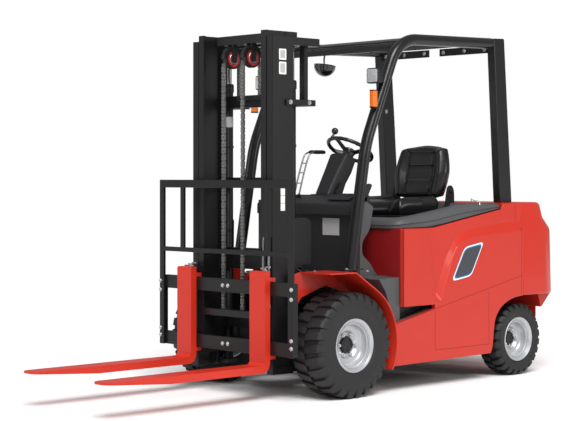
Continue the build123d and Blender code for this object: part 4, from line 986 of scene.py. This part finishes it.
for z0 in (1500, 1562, 1624):
    low_y, top_y = (1503 - (z - WEIGHT_TOP) * REAR_LEG_LEAN for z in (z0, z0 + 56))
    outline = [(low_y, z0), (low_y + 12, z0), (top_y + 12, z0 + 56), (top_y, z0 + 56)]
    for side in (-1, 1):
        add_plate(work, outline, side * 449, side * 486)
tails = finished("tail_lenses", work, tail_red, "chassis", edge=0.003)
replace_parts(tails, "tail_lamps")

# Mirror.
# A wide-angle mirror in a black bowl, hung on a bent wire stalk from the roof's first slat.
BOWL_R = 66
work = bmesh.new()
turns = [math.radians(a) for a in range(12, 100, 11)]
bowl = [(0, 0)] + [(BOWL_R * (1 - math.cos(turn)), BOWL_R * math.sin(turn)) for turn in turns]
depth, brim = bowl[-1]
bowl += [(depth + 3, brim + 3), (depth + 6, brim), (depth + 4, brim - 5), (depth - 10, 40), (depth - 16, 0)]
add_turned(work, place(-196, 564, 1822), (0.05, 0.12, 1), bowl, 32)
stalk = [(-208, 582, 1898), (-216, 588, 1930), (-212, 592, 1960), (-208, 594, 1988)]
add_tube(work, flowing(stalk, 4), 5, 10)
mirror_black = finish_of("mirror_black", (0.008, 0.008, 0.009), 0.12, coat=0.4)
mirror = finished("mirror_bowl", work, mirror_black, "chassis", sharp=50)
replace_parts(mirror, "mirror_lamp")

# Outer mast.
# Two rolled steel channels joined by cross ties behind, painted black, with a top frame on short posts.
# Blank white plates, pads, hose pipes and bolt heads sit on the rails.
mast_black = finish_of("mast_paint", (0.0075, 0.0075, 0.0082), 0.36, grain=0.06, grain_size=700, gloss=0.3)
painted(mast_black, "mast_outer_rails", "mast_outer_ties", "lift_barrels", edge=0.0025)
MAST_HALF = 334
TOP_FRAME_Z = 1984
work = bmesh.new()
add_block(work, -288, 288, -68, -34, 1944, TOP_FRAME_Z)
for side in (-1, 1):
    add_block(work, side * 292, side * MAST_HALF, -200, 5, 1940, TOP_FRAME_Z)
    add_block(work, side * 288, side * 300, -68, -34, 1944, TOP_FRAME_Z)
    add_block(work, side * 243, side * 283, -66, -36, 1606, 1946)
    add_block(work, side * 199, side * 335, -118, -38, 1606, 1640, 3)
    add_block(work, side * 334.3, side * 346, -262, -38, 1606, 1640, 4)
finished("mast_top_frame", work, mast_black, "mast_outer", edge=0.0025)
work = bmesh.new()
add_block(work, MAST_HALF, 342, -322, -226, 148, 176, 6)
for z0, z1 in ((296, 372), (640, 700)):
    add_block(work, MAST_HALF, 341, -238, -200, z0, z1, 6, 3)
bracket = [(-199, 728), (-62, 728), (-60, 960), (-88, 985), (-199, 985)]
add_plate(work, rounded(bracket, [2, 8, 10, 10, 2], 3), 312, 333.7)
add_plate(work, rounded([(-199, 690), (-120, 728), (-199, 728)], 2, 2), 316, 330)
mirrored(work)
finished("mast_pads", work, mast_black, "mast_outer", edge=0.002)

work, fields = bmesh.new(), bmesh.new()
for z0, z1 in ((1854, 1914), (1775, 1843)):
    add_block(work, MAST_HALF, MAST_HALF + 0.9, -308, -254, z0, z1, 4, 3)
    add_block(fields, MAST_HALF + 0.8, MAST_HALF + 1.3, -300, -262, z0 + 8, z1 - 8, 4, 3)
for z0, z1 in ((1028, 1068), (1070, 1110), (1112, 1150)):
    add_block(work, MAST_HALF, MAST_HALF + 0.9, -296, -264, z0, z1, 3, 3)
finished("mast_plates_blank", work, white_plate, "mast_outer")
finished("mast_plate_fields", fields, label_grey, "mast_outer")

work = bmesh.new()
for x in (274, 318):
    pipe = [(x, -362, 880), (x, -368, 860), (x, -370, 700), (x, -370, 560), (x, -362, 500)]
    add_tube(work, flowing(pipe, 4), 6, 10)
finished("mast_pipes", work, steel, "mast_outer")
mast_spots = [(342, -213, z, (1, 0, 0)) for z in (320, 350, 660, 684)]
for side in (-1, 1):
    mast_spots += [(side * 347, y, 1624, (side, 0, 0)) for y in (-88, -232)]
    mast_spots.append((side * 250, -52, TOP_FRAME_Z + 1, (0, 0, 1)))
bolted("mast_bolts", mast_spots, "mast_outer", zinc)

# Lift cylinders and inner mast.
# Two slim single-acting cylinders stand behind the rails; their chromed rods raise the inner mast's top beam.
# The inner rails are rolled I-sections that run on rollers, black as the outer ones.
painted(mast_black, "mast_inner_rails", "mast_inner_ties", edge=0.0025)
chrome = finish_of("chrome_rod", (0.80, 0.80, 0.81), 0.08, metallic=1.0, mottle=0.01)
painted(chrome, "lift_rods", edge=0.001)
LIFT_X, LIFT_Y = 262, -150.2
gland = [(0, 0), (0, 31), (4, 33), (40, 33), (44, 31), (49.5, 31), (50.6, 20.5), (50.6, 0)]
band = [(0, 0), (0, 31.5), (14, 31.5), (14, 0)]
work = bmesh.new()
for side in (-1, 1):
    add_turned(work, place(side * LIFT_X, LIFT_Y, 1700), (0, 0, 1), gland, 32)
    for z in (420, 900, 1380):
        add_turned(work, place(side * LIFT_X, LIFT_Y, z), (0, 0, 1), band, 28)
    add_tube(work, flowing([(side * LIFT_X, -118, 230), (side * LIFT_X, -100, 240), (side * 240, -92, 300),
                            (side * 236, -92, 420)], 4), 7, 10)
finished("lift_glands", work, mast_black, "mast_outer", edge=0.001)
work = bmesh.new()
add_turned(work, place(-LIFT_X, LIFT_Y, 1500), (0, 0, 1), [(0, 28.6), (0, 29.3), (60, 29.3), (60, 28.6)], 28)
finished("barrel_band_blank", work, label_grey, "mast_outer")

# Chain wheels and lift chains.
# Leaf chains of laced steel plates run from the carriage up over grooved wheels and down to the outer mast.
# Each run is a row of links grown along a line; the wheels have red hubs with a bright bearing cap.
chain_steel = finish_of("chain_steel", (0.30, 0.30, 0.29), 0.38, metallic=0.85, grain=0.3, grain_size=400)
chain_dark = finish_of("chain_oiled", (0.022, 0.022, 0.023), 0.4, metallic=0.5)
wheel_red = finish_of("hub_red", (0.45, 0.012, 0.012), 0.4)
PITCH = 19.05
LINK_R = 7.4
PLATE_HALF_T = 1.1
SHEAVE_X, SHEAVE_Y, SHEAVE_Z = 80, -280, 1878
chain_tree, entry, chain_sockets = new_tree(
    "leaf_chain", ("Count", "Int", 10), ("Start", "Vector", (0, 0, 0)), ("Pitch", "Vector", (0, 0, 0.02)),
    ("Link", "Object", None))
line = row_of_points(chain_tree)
info = chain_tree.nodes.new("GeometryNodeObjectInfo")
spread = chain_tree.nodes.new("GeometryNodeInstanceOnPoints")
joined(chain_tree, (entry, "Count", line, "Count"), (entry, "Start", line, "Start Location"),
       (entry, "Pitch", line, "Offset"), (entry, "Link", info, "Object"), (line, "Mesh", spread, "Points"),
       (info, "Geometry", spread, "Instance"))
end_tree(chain_tree, entry, spread)

work = bmesh.new()
link_outline = []
for end in (1, -1):
    for k in range(9):
        angle = math.pi * k / 8
        link_outline.append((end * LINK_R * math.cos(angle), end * (PITCH / 2 + LINK_R * math.sin(angle))))
    link_outline.append((-end * 5.4, 0))
for shift, plates in ((0, (-11.2, -4.0, 3.2, 10.4)), (PITCH, (-8.2, -1.2, 6.4))):
    for x in plates:
        add_loft(work, [[Vector((px, y, z + shift)) / 1000 for y, z in link_outline]
                        for px in (x - PLATE_HALF_T, x + PLATE_HALF_T)])
for z in (-PITCH / 2, PITCH / 2):
    add_turned(work, Vector((-12.8, 0, z)) / 1000, (1, 0, 0), [(0, 0), (0, 3.4), (25.6, 3.4), (25.6, 0)], 10)
link = linked("chain_link", mesh_of("chain_link", work))


def chain_run(node, side):
    """Middle, foot and top of one run of a CAD chain, on the given side of the truck."""
    points = [vertex.co for vertex in nodes[node].data.vertices if vertex.co.x * side > 0]
    low, high = (Vector([limit(point[i] for point in points) for i in range(3)]) for limit in (min, max))
    return (low + high) / 2, low.z, high.z


for node, body in (("chain_front", "mast_inner"), ("chain_back", "mast_outer")):
    for side, word in ((1, "left"), (-1, "right")):
        middle, foot_z, top_z = chain_run(node, side)
        step = 2 * PITCH / 1000
        run = grown(f"{node}_{word}_links", chain_tree, chain_sockets,
                    {"Count": int((top_z - foot_z) / step), "Start": (middle.x, middle.y, foot_z + 0.014),
                     "Pitch": (0, 0, step), "Link": link, "Finish": chain_steel}, body)
        if node == "chain_front":
            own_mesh(run)
        if side == 1:
            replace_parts(run, node)
bpy.data.objects.remove(link)

painted(chain_dark, "sheaves", edge=0.001)
hubs, caps = bmesh.new(), bmesh.new()
hub = [(-2, 0), (-2, 44), (2.4, 44), (2.4, 40), (1.0, 38), (1.0, 0)]
cap = [(0, 20), (3.2, 24), (3.2, 30), (1.2, 32), (0, 32)]
for side in (-1, 1):
    for face in (-1, 1):
        centre = place(side * SHEAVE_X + face * 13, SHEAVE_Y, SHEAVE_Z)
        add_turned(hubs, centre, (face, 0, 0), hub, 36)
        add_turned(caps, centre, (face, 0, 0), cap, 32)
finished("sheave_hubs", hubs, wheel_red, "mast_inner")
finished("sheave_caps", caps, steel, "mast_inner")

# Carriage, backrest and forks.
# Two thick bars carry the forks, with a bolted backrest frame above; all are flame cut steel, painted black.
# The forks are forged and painted red, each with a spring latch pin on its hook.
painted(mast_black, "carriage_bars", "carriage_sides", edge=0.003)
painted(mast_black, "backrest", edge=0.0025)
fork_red = finish_of("fork_paint", (0.56, 0.026, 0.010), 0.36, grain=0.06, grain_size=700, mottle=0.08,
                     gloss=0.35)
painted(fork_red, "fork_left", "fork_right", edge=0.004)
for name, x, y, heights in (("backrest_bolts", 549, -421.8, (612, 560, 340, 299)),
                            ("carriage_bolts", 22, -405.4, (285, 609))):
    spots = [(side * x, y, z, (0, -1, 0)) for side in (-1, 1) for z in heights]
    bolted(name, spots, "carriage", zinc, 8.0)
HOOK_TOP = 703
LATCH_PIN_Y = -384
for word in ("left", "right"):
    low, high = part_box("fork_" + word)
    x, y, z = (low.x + high.x) * 500, LATCH_PIN_Y, HOOK_TOP
    work = bmesh.new()
    add_turned(work, place(x, y, z - 26), (0, 0, 1), [(0, 0), (0, 9), (28, 9), (28, 0)], 16)
    handle = [(x, y, z), (x, y, z + 12), (x + 4, y - 4, z + 18), (x + 26, y - 8, z + 20),
              (x + 46, y - 8, z + 20)]
    stub = [(x, y, z + 8), (x - 20, y, z + 10), (x - 34, y, z + 12)]
    for wire in (handle, stub):
        add_tube(work, flowing(wire, 3), 5.5, 10)
    add_turned(work, place(x, y, z), (0, 0, 1), [(0, 0), (0, 13), (5, 13), (6, 9), (6, 0)], 18)
    finished(f"fork_latch_{word}", work, zinc, "fork_" + word, edge=0.0006)

# Tilt cylinders.
# Two short hydraulic rams tilt the mast from brackets on the frame, with chromed rods and pinned eyes.
painted(mast_black, "tilt_barrels", edge=0.0015)
painted(chrome, "tilt_rods", edge=0.001)

# Front fenders.
# A rolled sheet over each front wheel with a welded inner wall, painted red as the body is and bolted on top.
painted(red, "fenders", edge=0.0022)
fender_spots = [(side * x, y, 692.4, (0, 0, 1)) for x, y in ((590, 120), (400, -100)) for side in (-1, 1)]
bolted("fender_bolts", fender_spots, "chassis", zinc, 7.0)

# Frame, axles and knuckles.
# Welded plate and castings, seen from below and through the arches: black frame, grey iron on the front axle.
cast = finish_of("cast_grey", (0.020, 0.020, 0.021), 0.6, grain=0.5, grain_size=300, gloss=0.35)
painted(dark, "frame", "rear_axle", "knuckle_left", "knuckle_right", edge=0.002)
painted(cast, "front_axle", edge=0.004)
painted(chrome, "steer_rod", edge=0.001)

# Wheels.
# Solid rubber tyres with deep shoulder lugs on silver steel rims with a dished disc, a dark hub and nuts.
# The tyre's wall is turned from one profile; its lugs are grown around the axle by a node tree.
silver = finish_of("rim_paint", (0.50, 0.51, 0.53), 0.34, metallic=0.55, grain=0.05, grain_size=600)
hub_black = finish_of("hub_black", (0.012, 0.012, 0.013), 0.4, grain=0.1, gloss=0.35)
RIM_SEAT = 21
LUG_ROUND = 0.0022
WHEELS = {
    "front": dict(x=509.5, y=0, radius=291, width=225, rim=148, lugs=26, disc=18, hub=46, nuts=6),
    "rear": dict(x=486, y=1500, radius=220, width=160, rim=134, lugs=24, disc=-22, hub=40, nuts=5)}
NUT = [(0, 0), (0, 14), (3, 13), (4, 11), (14, 11), (15, 9.5), (15, 7), (22, 7), (23, 5), (23, 0)]

ring_tree, entry, ring_sockets = new_tree(
    "around_axle", ("Count", "Int", 20), ("First angle", "Float", 0.0), ("Centre", "Vector", (0, 0, 0)),
    ("Unit", "Object", None))
line = row_of_points(ring_tree)
line.inputs["Offset"].default_value = (0, 0, 0)
share = ring_tree.nodes.new("ShaderNodeMath")
share.operation = "DIVIDE"
swing = ring_tree.nodes.new("ShaderNodeMath")
swing.operation = "MULTIPLY_ADD"
swing.inputs[1].default_value = 2 * math.pi
turned = ring_tree.nodes.new("ShaderNodeCombineXYZ")
euler = ring_tree.nodes.new("FunctionNodeEulerToRotation")
info = ring_tree.nodes.new("GeometryNodeObjectInfo")
spread = ring_tree.nodes.new("GeometryNodeInstanceOnPoints")
joined(ring_tree, (entry, "Count", line, "Count"), (entry, "Centre", line, "Start Location"),
       (ring_tree.nodes.new("GeometryNodeInputIndex"), "Index", share, 0), (entry, "Count", share, 1),
       (share, 0, swing, 0), (entry, "First angle", swing, 2), (swing, 0, turned, "X"),
       (turned, "Vector", euler, "Euler"), (entry, "Unit", info, "Object"), (line, "Mesh", spread, "Points"),
       (info, "Geometry", spread, "Instance"), (euler, "Rotation", spread, "Rotation"))
end_tree(ring_tree, entry, spread)


def add_round(work, centre, side, profile, steps):
    """Turns a closed profile of (outward, radius) pairs in millimetres about a wheel's axle."""
    rows = []
    for out, radius in profile:
        way = round_way(steps) if radius else [(0, 0)]
        ring = [Vector((out * side, radius * c, radius * s)) for c, s in way]
        rows.append([work.verts.new(centre + point / 1000) for point in ring])
    skin(work, [*rows, rows[0]])


def add_lug(work, row, side, size, reach):
    """One lug of a tyre, lofted from the tread's middle over its shoulder and a little way down its wall."""
    half, radius = size["width"] / 2, size["radius"]
    rings = []
    for out, top, drop, wide, skew in (
            (2, radius - 1.5, 15, 0.78, -0.55), (half * 0.34, radius - 0.6, 15, 0.9, -0.25),
            (half * 0.62, radius - 1.0, 15, 1.0, 0.0), (half - 17, radius - 4, 16, 1.04, 0.12),
            (half - 5, radius - 17, 16, 1.0, 0.18), (half - 0.6, radius - 38, 8, 0.86, 0.2),
            (half - 0.4, radius - 52, 1.5, 0.70, 0.2)):
        under, low = (out, top - drop) if out < half - 10 else (out - drop, top - 2)
        ring = ((out, -0.93, top), (out, 0.93, top), (under, 1.05, low), (under, -1.05, low))
        rings.append([Vector((row * side * x, (y * wide + skew) * reach, z)) / 1000 for x, y, z in ring])
    add_loft(work, rings)
    bmesh.ops.bevel(work, geom=list(work.edges), offset=LUG_ROUND, segments=1, affect="EDGES",
                    clamp_overlap=True)


def tyre_pieces(end, word, side, size, centre, body):
    name = f"{end}_tyre_{word}"
    half, radius, rim = size["width"] / 2, size["radius"], size["rim"]
    wall = radius - rim
    section = [(-half + 18, rim - RIM_SEAT + 0.3), (-half + 17, rim + 1), (-half + 9, rim + 3),
               (-half + 5, rim + 9), (-half + 6, rim + 12), (-half + 2, rim + wall * 0.26),
               (-half, rim + wall * 0.44), (-half + 1.5, rim + wall * 0.46), (-half + 1.0, rim + wall * 0.62),
               (-half + 7, radius - 30), (-half + 20, radius - 17), (-half * 0.4, radius - 15),
               (-half * 0.05, radius - 14)]
    work = bmesh.new()
    add_round(work, centre, side, [*section, *[(-out, r) for out, r in reversed(section)]], 96)
    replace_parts(finished(name + "_wall", work, rubber, body, sharp=32), name)
    reach = 2 * math.pi * radius / size["lugs"] * 0.31
    for row, label, first in ((-1, "inner", 0.0), (1, "outer", math.pi / size["lugs"])):
        work = bmesh.new()
        add_lug(work, row, side, size, reach)
        unit = linked("lug_unit", mesh_of("lug_unit", work))
        grown(f"{name}_lugs_{label}", ring_tree, ring_sockets, {"Count": size["lugs"], "First angle": first,
              "Centre": tuple(centre), "Unit": unit, "Finish": rubber}, body)
        bpy.data.objects.remove(unit)


def rim_pieces(end, word, side, size, centre, body):
    name = f"{end}_rim_{word}"
    rim, disc, hub, nuts = size["rim"], size["disc"], size["hub"], size["nuts"]
    half, seat = size["width"] / 2 - 18, rim - RIM_SEAT
    face = [(half + 9, rim), (half + 11, rim - 4), (half + 8, rim - 10), (half + 2, seat + 6),
            (half - 2, seat - 3), (half - 12, seat - 6), (half - 14, seat - 11), (disc + 40, seat - 15),
            (disc + 30, seat - 22), (disc + 28, seat - 30), (disc + 26, hub + 34), (disc + 18, hub + 26),
            (disc + 12, hub + 20), (disc + 12, hub + 4), (disc + 12, 0)]
    rear = [(disc, 0), (disc, hub + 30), (disc + 14, seat - 9), (-half + 4, seat - 9), (-half - 3, rim - 10),
            (-half - 9, rim - 8), (-half - 9, rim), (-half, rim), (-half, seat), (half, seat), (half, rim)]
    work = bmesh.new()
    add_round(work, centre, side, [*face, *rear], 72)
    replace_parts(finished(name + "_dish", work, silver, body, sharp=30), name)

    def spot(out, radius, angle):
        """A point in metres, so far outward from the wheel's middle plane and from its axle, at an angle."""
        return centre + Vector((side * out, radius * math.cos(angle), radius * math.sin(angle))) / 1000

    work = bmesh.new()
    cap = [(0, 0), (0, hub + 3), (3, hub + 3), (4, hub), (16, hub - 4), (17, hub - 12), (12, hub - 15),
           (12, 0)]
    add_turned(work, spot(disc + 11, 0, 0), (side, 0, 0), cap, 40)
    finished(name + "_hub", work, hub_black, body, sharp=30)
    work = bmesh.new()
    for k in range(nuts):
        add_turned(work, spot(disc + 11, hub + 14, 2 * math.pi * k / nuts), (side, 0, 0), NUT, 6)
    finished(name + "_nuts", work, zinc, body, sharp=20)
    work = bmesh.new()
    stem = [spot(half + 3.5, seat + 9, 2.2 + turn) * 1000 for turn in (0.0, 0.02, 0.04)]
    add_tube(work, [(x, y - FRONT_AXLE_Y, z) for x, y, z in stem], 3.2, 10)
    finished(name + "_valve", work, hub_black, body)


for word, side in (("left", 1), ("right", -1)):
    for end, size in WHEELS.items():
        centre = place(side * size["x"], size["y"], size["radius"])
        tyre_pieces(end, word, side, size, centre, f"{end}_wheel_{word}")
        rim_pieces(end, word, side, size, centre, f"{end}_wheel_{word}")
